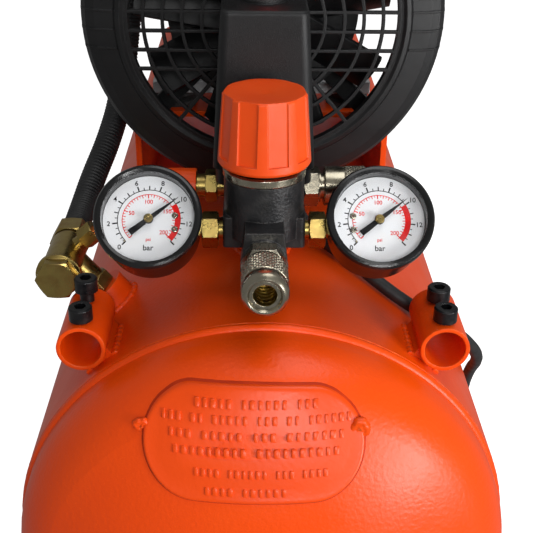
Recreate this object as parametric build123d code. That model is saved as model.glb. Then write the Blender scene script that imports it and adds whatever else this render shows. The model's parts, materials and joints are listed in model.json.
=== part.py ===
from build123d import *
import math
import os

# A direct-drive air compressor on a horizontal tank.  Millimetres, +Z up.
# The tank lies along Y with its regulator end towards -Y.  The origin is on the
# floor, under the middle of the tank.

# ---- driving dimensions ----
TANK_RADIUS = 142.5
SHELL_LENGTH = 700.0
TANK_WALL = 2.5
HEAD_STRAIGHT = 12.0
HEAD_KNUCKLE = 41.0
HEAD_CROWN = 224.0
HEAD_TUCK = 12.0
TANK_Z = 237.5
SEAM_Y = -SHELL_LENGTH / 2
HEAD_RADIUS = TANK_RADIUS - TANK_WALL

SOCKET_RADIUS = 13.45
SOCKET_BORE = 11.25
SOCKET_LENGTH = 45.0
SOCKET_X = 99.3
SOCKET_Z = TANK_Z + 123.4
SOCKET_Y = SEAM_Y + 3.0
CLAMP_Y = (SEAM_Y + 12.0, SEAM_Y + 34.5)

SCREW_RADIUS = 4.0
SCREW_HEAD_RADIUS = 6.5
SCREW_HEAD_HEIGHT = 8.0

REG_Y = SEAM_Y + 36.0
PORT_Z = TANK_Z + 183.0
GAUGE_Z = TANK_Z + 180.0
KNOB_BASE_Z = TANK_Z + 220.3
KNOB_TOP_Z = TANK_Z + 258.5
KNOB_BASE_RADIUS = 24.75
KNOB_TOP_RADIUS = 22.0
KNOB_GROOVES = 9
KNOB_FIRST_GROOVE = 17.0

GAUGE_X = 61.0
GAUGE_TILT = 42.0
GAUGE_CASE_RADIUS = 26.2
BEZEL_RADIUS = 28.5
WINDOW_RADIUS = 24.5
NEEDLE_ANGLE = -52.0

SWITCH_Y = SEAM_Y + 90.0
SWITCH_BASE_Z = PORT_Z + 12.0
COVER_Y = SWITCH_Y + 2.5
SWITCH_TOP_Z = TANK_Z + 292.0

COUPLER_Z = TANK_Z + 179.0
COUPLER_REACH = 38.0
COUPLER_FLATS = 21.0
SLEEVE_RADIUS = 12.0
SLEEVE_LENGTH = 27.0
SLEEVE_MOUTH = 7.9
PLUG_BORE = 6.0

AXIS_Z = TANK_Z + 269.0
SHROUD_RADIUS = 110.5
SHROUD_FRONT_Y = SEAM_Y + 136.0
SHROUD_BACK_Y = SEAM_Y + 185.0
GRILLE_RADIUS = 82.5
FAN_RADIUS = 79.0
SHAFT_RADIUS = 8.0
SIDE_RIBS = (-17.0, -5.7, 5.7, 17.0)
RUNNING_GAP = 0.05

CYLINDER_Y = -125.0
CRANK_RADIUS = 20.0
ROD_LENGTH = 75.0
BORE_RADIUS = 27.5
WRIST_Z = AXIS_Z + CRANK_RADIUS + ROD_LENGTH
DECK_Z = WRIST_Z + 16.0
CASE_FRONT_Y = -161.0
CASE_BACK_Y = -90.0
MOTOR_BACK_Y = 50.0
COVER_BACK_Y = 66.0

PLATFORM_X = 87.0
PLATFORM_FRONT_Y = -158.0
PLATFORM_BACK_Y = 72.0
PLATFORM_TOP_Z = TANK_Z + 194.0
PLATFORM_SHEET = 4.0
PAD_HEIGHT = 10.0
FOOT_HEIGHT = 8.0
PUMP_FEET = [(60.0, -135.0), (-60.0, -135.0), (60.0, 30.0), (-60.0, 30.0)]

FOOT_Y = SEAM_Y + 60.0
FOOT_X = 105.0
WHEEL_RADIUS = 80.0
RIM_RADIUS = 56.0
WHEEL_X = 149.0
WHEEL_WIDTH = 38.0
AXLE_RADIUS = 6.0
AXLE_Y = 270.0
AXLE_END_X = 176.0

VALVE_ANGLE = 39.5
VALVE_Y = SEAM_Y + 78.0
VALVE_DISTANCE = 185.3

CORD_RADIUS = 4.0
HOSE_RADIUS = 8.5
COIL_CENTRE = (100.0, -130.0)
COIL_MEAN_RADIUS = 46.0
GLAND = (16.0, SWITCH_Y + 26.0, SWITCH_BASE_Z)
MOTOR_LEAD_RADIUS = 3.75
MOTOR_LEAD_TOP = (-10.0, SWITCH_Y + 26.0, SWITCH_BASE_Z + 8.0)
MOTOR_LEAD_END = (30.0, -40.0, AXIS_Z - 49.5)

ALONG_X = (1, 0, 0)
ALONG_Y = (0, 1, 0)
ALONG_Z = (0, 0, 1)


# ---- small tools ----
def placed(shape, origin, direction):
    """Set a shape made along +Z at an origin, along a direction."""
    across = (0, 1, 0) if abs(direction[0]) > 0.9 else (1, 0, 0)
    return Plane(origin=origin, x_dir=across, z_dir=direction).location * shape


def rod(start, end, radius):
    """A round bar from one point to another."""
    run = Vector(*end) - Vector(*start)
    bar = Cylinder(radius, run.length, align=(Align.CENTER, Align.CENTER, Align.MIN))
    return Plane(origin=start, z_dir=run).location * bar


def tube(start, end, outer, inner):
    return rod(start, end, outer) - rod(start, end, inner)


def turned(profile, origin=(0, 0, 0), direction=ALONG_Z):
    """A turned piece from its closed (radius, height) half outline."""
    outline = Polyline(*[(r, 0, h) for r, h in profile], close=True)
    return placed(revolve(make_face(outline), Axis.Z), origin, direction)


def hexagon(flats, height, origin, direction, turn=0.0):
    """A chamfered hexagon of a nut or a plug, its base at the origin."""
    corner = flats / math.sqrt(3)
    cut = (corner - flats / 2) * 0.6
    prism = extrude(RegularPolygon(corner, 6, rotation=turn), amount=height)
    ends = [(0, 0), (flats / 2, 0), (corner, cut), (corner, height - cut), (flats / 2, height), (0, height)]
    outline = Polyline(*[(r, 0, h) for r, h in ends], close=True)
    return placed(prism & revolve(make_face(outline), Axis.Z), origin, direction)


def box(x, y, z):
    """A block between two values on each axis."""
    block = Box(x[1] - x[0], y[1] - y[0], z[1] - z[0], align=(Align.MIN, Align.MIN, Align.MIN))
    return Pos(x[0], y[0], z[0]) * block


def group(*shapes):
    """Separate solids that share one node."""
    return Compound([solid for shape in shapes for solid in shape.solids()])


def save(shape, name):
    export_step(shape, f"parts/{name}.step")


def mirrored(shape):
    return mirror(shape, about=Plane.YZ)


def offset(point, direction, distance):
    return tuple(p + d * distance for p, d in zip(point, direction))


def socket_screw(top, grip, direction=(0, 0, -1)):
    """A socket-head cap screw: the head's underside is at the given point."""
    back = tuple(-d for d in direction)
    head = [(0, 0), (SCREW_HEAD_RADIUS, 0), (SCREW_HEAD_RADIUS, SCREW_HEAD_HEIGHT - 0.8)]
    head += [(SCREW_HEAD_RADIUS - 0.8, SCREW_HEAD_HEIGHT), (0, SCREW_HEAD_HEIGHT)]
    screw = turned(head, top, back) + rod(top, offset(top, direction, grip), SCREW_RADIUS)
    drive = extrude(RegularPolygon(3.5, 6), amount=6.0)
    return screw - placed(drive, offset(top, back, SCREW_HEAD_HEIGHT - 5.0), back)


def swept(route, radii, section):
    """A round cord or pipe along straight runs joined by tangent arcs."""
    path = FilletPolyline(*route, radius=radii)
    start = Plane(origin=path @ 0, z_dir=path % 0)
    return sweep(start * Circle(section), path=path)


def bend_radii(route):
    """The largest arc that the two runs at each corner allow."""
    radii = []
    for before, at, after in zip(route, route[1:], route[2:]):
        run_in = Vector(*at) - Vector(*before)
        run_out = Vector(*after) - Vector(*at)
        turn = math.radians(run_in.get_angle(run_out))
        radii.append(0.45 * min(run_in.length, run_out.length) / math.tan(turn / 2))
    return radii


def shell_bar(radius):
    return rod((0, SEAM_Y - 60, TANK_Z), (0, -SEAM_Y + 60, TANK_Z), radius)


# ---- tank ----
def dished(growth, straight):
    """A solid round end, offset from the head's outside: a straight, a knuckle and a crown, along +Z."""
    radius = HEAD_RADIUS + growth
    knuckle = HEAD_KNUCKLE + growth
    crown = HEAD_CROWN + growth
    knuckle_x = HEAD_RADIUS - HEAD_KNUCKLE
    crown_z = straight - math.sqrt((HEAD_CROWN - HEAD_KNUCKLE) ** 2 - knuckle_x ** 2)
    lean = math.asin(knuckle_x / (HEAD_CROWN - HEAD_KNUCKLE))
    half = lean + (math.pi / 2 - lean) / 2
    corner = (knuckle_x + knuckle * math.sin(half), straight + knuckle * math.cos(half))
    joint = (crown * math.sin(lean), crown_z + crown * math.cos(lean))
    middle = (crown * math.sin(lean / 2), crown_z + crown * math.cos(lean / 2))
    edges = [
        ThreePointArc((radius, straight), corner, joint),
        ThreePointArc(joint, middle, (0, crown_z + crown)),
        Line((0, crown_z + crown), (0, 0)),
        Line((0, 0), (radius, 0)),
        Line((radius, 0), (radius, straight)),
    ]
    return revolve(Plane.XZ * make_face(Wire(edges)), Axis.Z)


def radial(angle, distance):
    """X and Z at an angle from straight up, positive towards +X, from the tank's axis."""
    turn = math.radians(angle)
    return distance * math.sin(turn), TANK_Z + distance * math.cos(turn)


# Each bung: its angle round the tank, its Y, outer radius, bore radius and height proud.
BUNGS = {
    "switch": (0.0, SWITCH_Y, 15.0, 6.6, 12.0),
    "valve": (-VALVE_ANGLE, VALVE_Y, 15.0, 8.3, 13.0),
    "drain": (180.0, -60.0, 13.0, 5.7, 7.0),
}


def bung_axis(key, distance):
    angle, y = BUNGS[key][:2]
    x, z = radial(angle, distance)
    return x, y, z


def bung_hole(key, radius):
    return rod(bung_axis(key, TANK_RADIUS - 12), bung_axis(key, TANK_RADIUS + 30), radius)


def make_tank():
    shell = tube((0, SEAM_Y, TANK_Z), (0, -SEAM_Y, TANK_Z), TANK_RADIUS, HEAD_RADIUS)
    for key in BUNGS:
        shell -= bung_hole(key, BUNGS[key][2])
    save(shell, "tank_shell")

    straight = HEAD_TUCK + HEAD_STRAIGHT
    dish = dished(0, straight) - dished(-TANK_WALL, straight)
    front = placed(dish, (0, SEAM_Y + HEAD_TUCK, TANK_Z), (0, -1, 0))
    rear = placed(dish, (0, -SEAM_Y - HEAD_TUCK, TANK_Z), (0, 1, 0))
    save(group(front, rear), "tank_heads")

    sockets = []
    for key, (angle, y, outer, bore, proud) in BUNGS.items():
        body = rod(bung_axis(key, TANK_RADIUS - 8), bung_axis(key, TANK_RADIUS + proud), outer)
        sockets.append(body - bung_hole(key, bore))
    handle = tube((SOCKET_X, SOCKET_Y, SOCKET_Z), (SOCKET_X, SOCKET_Y + SOCKET_LENGTH, SOCKET_Z),
                  SOCKET_RADIUS, SOCKET_BORE)
    out = (SOCKET_X / 158.4, 0, (SOCKET_Z - TANK_Z) / 158.4)
    saddle = placed(Box(16, 30, 16), offset((0, SOCKET_Y + 22, TANK_Z), out, 147), out)
    saddle -= rod((SOCKET_X, SOCKET_Y - 5, SOCKET_Z), (SOCKET_X, SOCKET_Y + 50, SOCKET_Z), SOCKET_RADIUS - 1)
    handle += saddle - shell_bar(TANK_RADIUS)
    for y in CLAMP_Y:
        handle -= rod((SOCKET_X, y, SOCKET_Z), (SOCKET_X, y, SOCKET_Z + 30), SCREW_RADIUS)
    save(group(*sockets, handle, mirrored(handle)), "tank_sockets")

    skin = dished(1.2, HEAD_STRAIGHT) - dished(0, HEAD_STRAIGHT)
    skin = placed(skin, (0, SEAM_Y, TANK_Z), (0, -1, 0))
    front = Plane(origin=(-5.3, SEAM_Y - 160, TANK_Z + 103.2), x_dir=ALONG_X, z_dir=ALONG_Y)
    outline = front * SlotOverall(112.2, 50.6)
    save(extrude(outline, amount=150) & skin, "data_plate")


# ---- feet, wheels and drain ----
def saddle_strip(y, half_width, angle):
    """A strip of sheet that hugs the underside of the shell."""
    ring = tube((0, y - half_width, TANK_Z), (0, y + half_width, TANK_Z), TANK_RADIUS + 3, TANK_RADIUS)
    reach = (TANK_RADIUS + 4) * math.sin(math.radians(angle))
    drop = TANK_Z - TANK_RADIUS * math.cos(math.radians(angle))
    return ring & box((-reach, reach), (y - half_width, y + half_width), (0, drop))


def web_plate(points, y, thickness):
    """A flat plate across the tank, from its X, Z outline, cut to the shell."""
    outline = make_face(Polyline(*[(x, y - thickness / 2, z) for x, z in points], close=True))
    return extrude(outline, amount=thickness, dir=ALONG_Y) - shell_bar(TANK_RADIUS)


def make_stand():
    web = web_plate([(-122, 22), (122, 22), (122, 40), (96, 150), (-96, 150), (-122, 40)], FOOT_Y, 4)
    web -= rod((0, FOOT_Y - 10, 22), (0, FOOT_Y + 10, 22), 42)
    for side in (-1, 1):
        x = sorted((side * 44, side * 122))
        web += box(x, (FOOT_Y - 22, FOOT_Y + 22), (22, 26))
    web += saddle_strip(FOOT_Y, 15, 44)
    save(web, "front_foot")

    pad = [(0, 0), (15, 0), (17.5, 3), (16, 22), (0, 22)]
    save(group(turned(pad, (-FOOT_X, FOOT_Y, 0)), turned(pad, (FOOT_X, FOOT_Y, 0))), "rubber_feet")

    sleeve = 118.0
    axle = ((-sleeve, AXLE_Y, WHEEL_RADIUS), (sleeve, AXLE_Y, WHEEL_RADIUS))
    bracket = web_plate([(-96, 74), (96, 74), (110, 150), (-110, 150)], AXLE_Y, 5)
    bracket += rod(*axle, 11) + saddle_strip(AXLE_Y, 18, 46)
    bracket -= rod((-130, AXLE_Y, WHEEL_RADIUS), (130, AXLE_Y, WHEEL_RADIUS), AXLE_RADIUS)
    save(bracket, "axle_bracket")

    ends = []
    for side in (-1, 1):
        cap = [(0, 0), (10, 0), (10, 1.6), (8, 4), (0, 4)]
        ends.append(turned(cap, (side * (AXLE_END_X - 4), AXLE_Y, WHEEL_RADIUS), (side, 0, 0)))
        inner = side * 119.5
        outer = side * 121.5
        ends.append(rod((inner, AXLE_Y, WHEEL_RADIUS), (outer, AXLE_Y, WHEEL_RADIUS), 11))
    bar_end = AXLE_END_X - 4
    bar = rod((-bar_end, AXLE_Y, WHEEL_RADIUS), (bar_end, AXLE_Y, WHEEL_RADIUS), AXLE_RADIUS)
    save(bar + ends[0] + ends[1] + ends[2] + ends[3], "wheel_axle")


def make_wheels():
    hub = AXLE_RADIUS + RUNNING_GAP
    half = WHEEL_WIDTH / 2
    rim = [(hub, -22), (14, -22), (14, -4), (46, -4), (50, -15), (RIM_RADIUS, -15), (RIM_RADIUS, 15)]
    rim += [(50, 15), (46, 4), (14, 4), (14, 22), (hub, 22)]
    tyre = [(RIM_RADIUS, 1 - half), (62, 1 - half), (66, -half), (73, 1 - half), (77, 5 - half)]
    for groove in (-8, 0, 8):
        tyre += [(79.6, groove - 2.5), (77.2, groove - 1.6), (77.2, groove + 1.6), (79.6, groove + 2.5)]
        if groove < 8:
            tyre += [(WHEEL_RADIUS, groove + 4)]
    tyre += [(77, half - 5), (73, half - 1), (66, half), (62, half - 1), (RIM_RADIUS, half - 1)]
    disc = turned(rim)
    for step in range(6):
        turn = math.radians(60 * step)
        disc -= Pos(31 * math.cos(turn), 31 * math.sin(turn), 0) * Cylinder(8.5, 12)
    for side, name in ((-1, "left"), (1, "right")):
        centre = (side * WHEEL_X, AXLE_Y, WHEEL_RADIUS)
        save(placed(disc, centre, (side, 0, 0)), f"wheel_{name}_rim")
        save(turned(tyre, centre, (side, 0, 0)), f"wheel_{name}_tyre")


def make_drain():
    x, y, bottom = bung_axis("drain", TANK_RADIUS + BUNGS["drain"][4])
    down = (0, 0, -1)
    body = rod((x, y, bottom + 12), (x, y, bottom), BUNGS["drain"][3])
    body += hexagon(17, 9, (x, y, bottom), down)
    body += rod((x, y, bottom - 9), (x, y, bottom - 22), 6.5)
    body += rod((x, y, bottom - 16), (x, y - 14, bottom - 16), 3.5)
    body -= rod((x, y, bottom - 23), (x, y, bottom + 13), 3 + RUNNING_GAP)
    save(body, "drain_valve")
    grip = [(0, -12), (3, -12), (3, 0.5), (9.5, 0.5), (10, 1), (10, 8), (9.5, 8.5), (0, 8.5)]
    knob = turned(grip, (x, y, bottom - 22), down)
    for step in range(12):
        turn = math.radians(30 * step)
        knob -= Pos(x + 10.6 * math.cos(turn), y + 10.6 * math.sin(turn), bottom - 26.5) * Cylinder(1.3, 20)
    save(knob, "drain_knob")


# ---- platform, pads and screws ----
def foot_holes(bottom, top):
    return [rod((x, y, bottom), (x, y, top), SCREW_RADIUS) for x, y in PUMP_FEET]


def make_platform():
    length = (PLATFORM_FRONT_Y, PLATFORM_BACK_Y)
    outer = box((-PLATFORM_X, PLATFORM_X), length, (TANK_Z, PLATFORM_TOP_Z))
    edges = [e for e in outer.edges().filter_by(Axis.Y) if e.center().Z > PLATFORM_TOP_Z - 1]
    outer = fillet(edges, 10)
    inner_x = PLATFORM_X - PLATFORM_SHEET
    inner_z = (TANK_Z - 1, PLATFORM_TOP_Z - PLATFORM_SHEET)
    inner = box((-inner_x, inner_x), (length[0] - 1, length[1] + 1), inner_z)
    edges = [e for e in inner.edges().filter_by(Axis.Y) if e.center().Z > PLATFORM_TOP_Z - 6]
    inner = fillet(edges, 6)
    saddle = outer - inner - shell_bar(TANK_RADIUS)
    for hole in foot_holes(PLATFORM_TOP_Z - 10, PLATFORM_TOP_Z + 1):
        saddle -= hole
    x, y, z = MOTOR_LEAD_END
    saddle -= rod((x, y, PLATFORM_TOP_Z - 10), (x, y, z), 9)
    save(saddle, "pump_platform")

    ring = [(SCREW_RADIUS, 0), (15, 0), (15, 3), (12.5, 5), (15, 7), (15, PAD_HEIGHT)]
    ring.append((SCREW_RADIUS, PAD_HEIGHT))
    pads = [turned(ring, (x, y, PLATFORM_TOP_Z)) for x, y in PUMP_FEET]
    save(group(*pads), "isolator_pads")


def make_screws():
    screws = []
    seat = SOCKET_Z + SOCKET_RADIUS
    bore = rod((SOCKET_X, SOCKET_Y - 9, SOCKET_Z), (SOCKET_X, SOCKET_Y + 60, SOCKET_Z), SOCKET_BORE)
    for side in (-1, 1):
        for index, y in enumerate(CLAMP_Y):
            lift = 6.0 if side < 0 and index == 1 else 0.6
            screw = socket_screw((SOCKET_X, y, seat + lift), 14) - bore
            upper = max(screw.solids(), key=lambda solid: solid.center().Z)
            screws.append(mirrored(upper) if side < 0 else upper)
    foot_top = PLATFORM_TOP_Z + PAD_HEIGHT + FOOT_HEIGHT
    for x, y in PUMP_FEET:
        screws.append(socket_screw((x, y, foot_top), foot_top - PLATFORM_TOP_Z + 8))
    for x, y in head_corners():
        screws.append(socket_screw((x, y, HEAD_SEAT_Z), HEAD_SEAT_Z - DECK_Z + 6))
    save(group(*screws), "cap_screws")


# ---- pump ----
HEAD_BASE_Z = DECK_Z + 5.0
HEAD_TOP_Z = HEAD_BASE_Z + 26.0
HEAD_SEAT_Z = HEAD_TOP_Z - 8.0
HEAD_X = 44.0
HEAD_Y = 34.0
PORT_HEIGHT_Z = HEAD_BASE_Z + 10.5
CASE_DECK_Z = AXIS_Z + 52.0
SEAT_RADIUS = 17.0
RING_HEIGHTS = (3.0, 8.5)


def head_corners():
    return [(x, CYLINDER_Y + y) for x in (-35, 35) for y in (-27, 27)]


def corner_holes(bottom, top, radius=SCREW_RADIUS):
    return [rod((x, y, bottom), (x, y, top), radius) for x, y in head_corners()]


def along_axis(front, back, radius):
    """A bar on the crankshaft's axis."""
    return rod((0, front, AXIS_Z), (0, back, AXIS_Z), radius)


def foot_bar(y, pump_width):
    """A cast foot across two rubber pads, with its screw holes."""
    foot_z = PLATFORM_TOP_Z + PAD_HEIGHT
    foot = box((-74, 74), (y - 14, y + 14), (foot_z, foot_z + FOOT_HEIGHT))
    foot += box((-pump_width, pump_width), (y - 12, y + 12), (foot_z + FOOT_HEIGHT, AXIS_Z - 40))
    for hole in foot_holes(foot_z - 1, foot_z + FOOT_HEIGHT + 1):
        foot -= hole
    return foot


def make_crankcase():
    case = along_axis(CASE_FRONT_Y, CASE_BACK_Y, 54)
    case += box((-42, 42), (CASE_FRONT_Y, CASE_BACK_Y), (AXIS_Z, CASE_DECK_Z))
    case += foot_bar(PUMP_FEET[0][1], 40)
    case -= along_axis(CASE_FRONT_Y + 10, CASE_BACK_Y - 8, 47)
    case -= along_axis(CASE_FRONT_Y - 1, CASE_BACK_Y + 1, SEAT_RADIUS)
    case -= box((-60, 60), (CASE_FRONT_Y - 1, CASE_BACK_Y + 1), (CASE_DECK_Z, CASE_DECK_Z + 5))
    case -= rod((0, CYLINDER_Y, AXIS_Z), (0, CYLINDER_Y, CASE_DECK_Z + 1), 30)
    save(case, "crankcase")

    seats = [(CASE_FRONT_Y, CASE_FRONT_Y + 10), (CASE_BACK_Y - 8, CASE_BACK_Y)]
    seats.append((MOTOR_BACK_Y + 2, MOTOR_BACK_Y + 12))
    inner = SHAFT_RADIUS + RUNNING_GAP
    rings = [along_axis(a, b, SEAT_RADIUS) - along_axis(a - 1, b + 1, inner) for a, b in seats]
    save(group(*rings), "shaft_bearings")


def crank_web(front, back):
    """A disc with its upper corners cut away, so its lower half balances the rod."""
    disc = along_axis(front, back, 38)
    for side in (-1, 1):
        x = sorted((side * 15, side * 40))
        disc -= box(x, (front - 1, back + 1), (AXIS_Z + 2, AXIS_Z + 40))
    return disc


def make_running_gear():
    pin_z = AXIS_Z + CRANK_RADIUS
    rod_half = 6.0
    web_gap = rod_half + 3.0
    stub = 2.5
    front = CYLINDER_Y - web_gap
    back = CYLINDER_Y + web_gap
    forward = crank_web(front - 11, front) + along_axis(SHROUD_FRONT_Y + 8, front - 10, SHAFT_RADIUS)
    forward += rod((0, front, pin_z), (0, front + stub, pin_z), 9.5)
    rearward = crank_web(back, back + 11) + along_axis(back + 10, MOTOR_BACK_Y + 12, SHAFT_RADIUS)
    rearward += rod((0, back - stub, pin_z), (0, back, pin_z), 9.5)
    save(group(forward, rearward), "crankshaft")

    y = (CYLINDER_Y - rod_half, CYLINDER_Y + rod_half)
    link = rod((0, y[0], WRIST_Z), (0, y[1], WRIST_Z), 9.5) + rod((0, y[0], pin_z), (0, y[1], pin_z), 15)
    link += box((-6, 6), (CYLINDER_Y - 4, CYLINDER_Y + 4), (pin_z + 8, WRIST_Z - 8))
    link -= rod((0, y[0] - 1, WRIST_Z), (0, y[1] + 1, WRIST_Z), 6 + RUNNING_GAP)
    link -= rod((0, y[0] - 1, pin_z), (0, y[1] + 1, pin_z), 9.5)
    save(link, "connecting_rod")

    skirt = BORE_RADIUS - RUNNING_GAP
    ring_depth = 2.5
    profile = [(0, -13), (skirt, -13)]
    for ring_z in RING_HEIGHTS:
        profile += [(skirt, ring_z), (skirt - ring_depth, ring_z)]
        profile += [(skirt - ring_depth, ring_z + 2), (skirt, ring_z + 2)]
    profile += [(skirt, 15), (0, 15)]
    crown = turned(profile, (0, CYLINDER_Y, WRIST_Z))
    slot = (CYLINDER_Y - rod_half - 1.5, CYLINDER_Y + rod_half + 1.5)
    crown -= box((-17, 17), slot, (WRIST_Z - 14, WRIST_Z + 10.5))
    crown -= rod((0, CYLINDER_Y - 30, WRIST_Z), (0, CYLINDER_Y + 30, WRIST_Z), 6)
    pin = rod((0, CYLINDER_Y - 24, WRIST_Z), (0, CYLINDER_Y + 24, WRIST_Z), 6)
    rings = []
    for ring_z in RING_HEIGHTS:
        base = (0, CYLINDER_Y, WRIST_Z + ring_z)
        rings.append(tube(base, offset(base, ALONG_Z, 2), skirt, skirt - ring_depth))
    save(group(crown, pin, *rings), "piston")


def make_cylinder():
    low = CASE_DECK_Z
    x = (-HEAD_X, HEAD_X)
    y = (CYLINDER_Y - HEAD_Y, CYLINDER_Y + HEAD_Y)
    barrel = rod((0, CYLINDER_Y, low), (0, CYLINDER_Y, DECK_Z), 33)
    barrel += box((-40, 40), y, (low, low + 6))
    barrel += box(x, y, (DECK_Z - 7, DECK_Z))
    fin_z = low + 12
    while fin_z < DECK_Z - 10:
        fin = box(x, y, (fin_z, fin_z + 2.5))
        barrel += fillet(fin.edges().filter_by(Axis.Z), 12)
        fin_z += 7.2
    barrel -= rod((0, CYLINDER_Y, low - 1), (0, CYLINDER_Y, DECK_Z + 1), BORE_RADIUS)
    for hole in corner_holes(DECK_Z - 7.5, DECK_Z + 1):
        barrel -= hole
    save(barrel, "cylinder")

    plate = box(x, y, (DECK_Z, HEAD_BASE_Z))
    for hole in corner_holes(DECK_Z - 1, HEAD_BASE_Z + 1):
        plate -= hole
    for port_x in (-14, 14):
        plate -= rod((port_x, CYLINDER_Y, DECK_Z - 1), (port_x, CYLINDER_Y, HEAD_BASE_Z + 1), 4)
    reed_y = (CYLINDER_Y - 6, CYLINDER_Y + 16)
    outlet_reed = box((-20, -8), reed_y, (HEAD_BASE_Z, HEAD_BASE_Z + 0.5))
    inlet_reed = box((8, 20), (CYLINDER_Y - 6, CYLINDER_Y + 14), (DECK_Z - 0.5, DECK_Z))
    save(group(plate, outlet_reed, inlet_reed), "valve_plate")

    head = box(x, y, (HEAD_BASE_Z, HEAD_TOP_Z))
    head = fillet(head.edges().filter_by(Axis.Z), 10)
    for side in (-1, 1):
        chamber_x = sorted((side * 3, side * 30))
        head -= box(chamber_x, (CYLINDER_Y - 20, CYLINDER_Y + 20), (HEAD_BASE_Z - 1, HEAD_BASE_Z + 16))
    for step in range(9):
        groove_x = -36 + 9 * step
        head -= box((groove_x - 2.5, groove_x + 2.5), (y[0] - 1, y[1] + 1), (HEAD_TOP_Z - 7, HEAD_TOP_Z + 1))
    for hole in corner_holes(HEAD_BASE_Z - 1, HEAD_TOP_Z + 1):
        head -= hole
    for recess in corner_holes(HEAD_SEAT_Z, HEAD_TOP_Z + 1, SCREW_HEAD_RADIUS + 0.3):
        head -= recess
    head -= rod((-HEAD_X - 1, CYLINDER_Y, PORT_HEIGHT_Z), (-20, CYLINDER_Y, PORT_HEIGHT_Z), 6)
    head -= rod((18, CYLINDER_Y, PORT_HEIGHT_Z), (18, CYLINDER_Y + HEAD_Y + 1, PORT_HEIGHT_Z), 6)
    save(head, "cylinder_head")

    can = [(0, 0), (6, 0), (6, 8), (19, 8), (21, 10)]
    for rib in range(5):
        can += [(21, 14 + 6 * rib), (19.5, 15 + 6 * rib), (19.5, 17 + 6 * rib), (21, 18 + 6 * rib)]
    can += [(21, 43), (18, 46), (0, 46)]
    start = (18, CYLINDER_Y + HEAD_Y - 6, PORT_HEIGHT_Z - 2)
    can = [(r, h + 6) if h > 0 else (r, h) for r, h in can]
    save(turned(can, offset(start, ALONG_Z, 2), ALONG_Y), "air_filter")


# ---- motor ----
def make_motor():
    length = (CASE_BACK_Y, MOTOR_BACK_Y)
    shell = along_axis(*length, 60)
    for step in range(24):
        turn = 15 * step + 7.5
        fin = box((-1.3, 1.3), length, (58, 66))
        shell += Pos(0, 0, AXIS_Z) * (Rot(0, turn, 0) * fin)
    shell += foot_bar(PUMP_FEET[2][1], 38)
    shell += box((-30, 30), (-34, 42), (AXIS_Z + 58, AXIS_Z + 68))
    shell -= along_axis(CASE_BACK_Y + 6, MOTOR_BACK_Y + 1, 56)
    shell -= rod(offset(MOTOR_LEAD_END, ALONG_Z, -20), offset(MOTOR_LEAD_END, ALONG_Z, 8), MOTOR_LEAD_RADIUS)
    shell -= along_axis(CASE_BACK_Y - 1, CASE_BACK_Y + 7, 12)
    save(shell, "motor_housing")

    core = along_axis(-70, 30, 56) - along_axis(-71, 31, 34)
    for ends in ((-81, -70), (30, 41)):
        coil = along_axis(*ends, 52) - along_axis(ends[0] - 1, ends[1] + 1, 36)
        core += coil
    save(core, "stator")
    save(along_axis(-70, 30, 33.5) - along_axis(-71, 31, SHAFT_RADIUS), "rotor")

    dome = [(0, 16), (38, 16), (58, 9), (66, 4), (66, 0), (54, 0), (50, 6), (36, 12), (23, 12)]
    dome += [(23, 2), (SEAT_RADIUS, 2), (SEAT_RADIUS, 12.2), (0, 12.2)]
    cover = turned(dome, (0, MOTOR_BACK_Y, AXIS_Z), ALONG_Y)
    for step in range(8):
        turn = math.radians(45 * step)
        x = 43 * math.cos(turn)
        z = AXIS_Z + 43 * math.sin(turn)
        cover -= rod((x, MOTOR_BACK_Y, z), (x, COVER_BACK_Y + 1, z), 4.5)
    save(cover, "motor_end_cover")

    base_z = AXIS_Z + 68
    lid = box((-33, 33), (-38, 48), (base_z, base_z + 38))
    lid = fillet(lid.edges().filter_by(Axis.Z), 8)
    lid = fillet(lid.faces().sort_by(Axis.Z)[-1].edges(), 4)
    lid -= box((-30, 30), (-35, 45), (base_z - 1, base_z + 35))
    can = rod((0, -30, base_z + 17), (0, 38, base_z + 17), 15)
    save(group(lid, can), "capacitor_box")


# ---- fan and shroud ----
def make_fan():
    hub_front = SHROUD_FRONT_Y + 12
    hub = along_axis(hub_front, hub_front + 22, 18)
    fan = hub + along_axis(hub_front + 20, hub_front + 22, 60)
    mid_y = hub_front + 11
    for step in range(9):
        curve = Cylinder(34, 70, align=(Align.CENTER, Align.CENTER, Align.MIN))
        curve -= Cylinder(31.8, 70, align=(Align.CENTER, Align.CENTER, Align.MIN))
        curve &= box((-15, 15), (-40, -20), (0, 70))
        curve = Pos(0, 32, 12) * curve
        blade = Pos(0, mid_y, AXIS_Z) * (Rot(0, 40 * step, 0) * (Rot(0, 0, 33) * curve))
        fan += blade & along_axis(hub_front - 1, hub_front + 23, FAN_RADIUS)
    fan -= along_axis(hub_front - 1, hub_front + 23, SHAFT_RADIUS)
    save(fan, "cooling_fan")


def ring_at(front, back, outer, inner):
    return along_axis(front, back, outer) - along_axis(front - 1, back + 1, inner)


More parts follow.
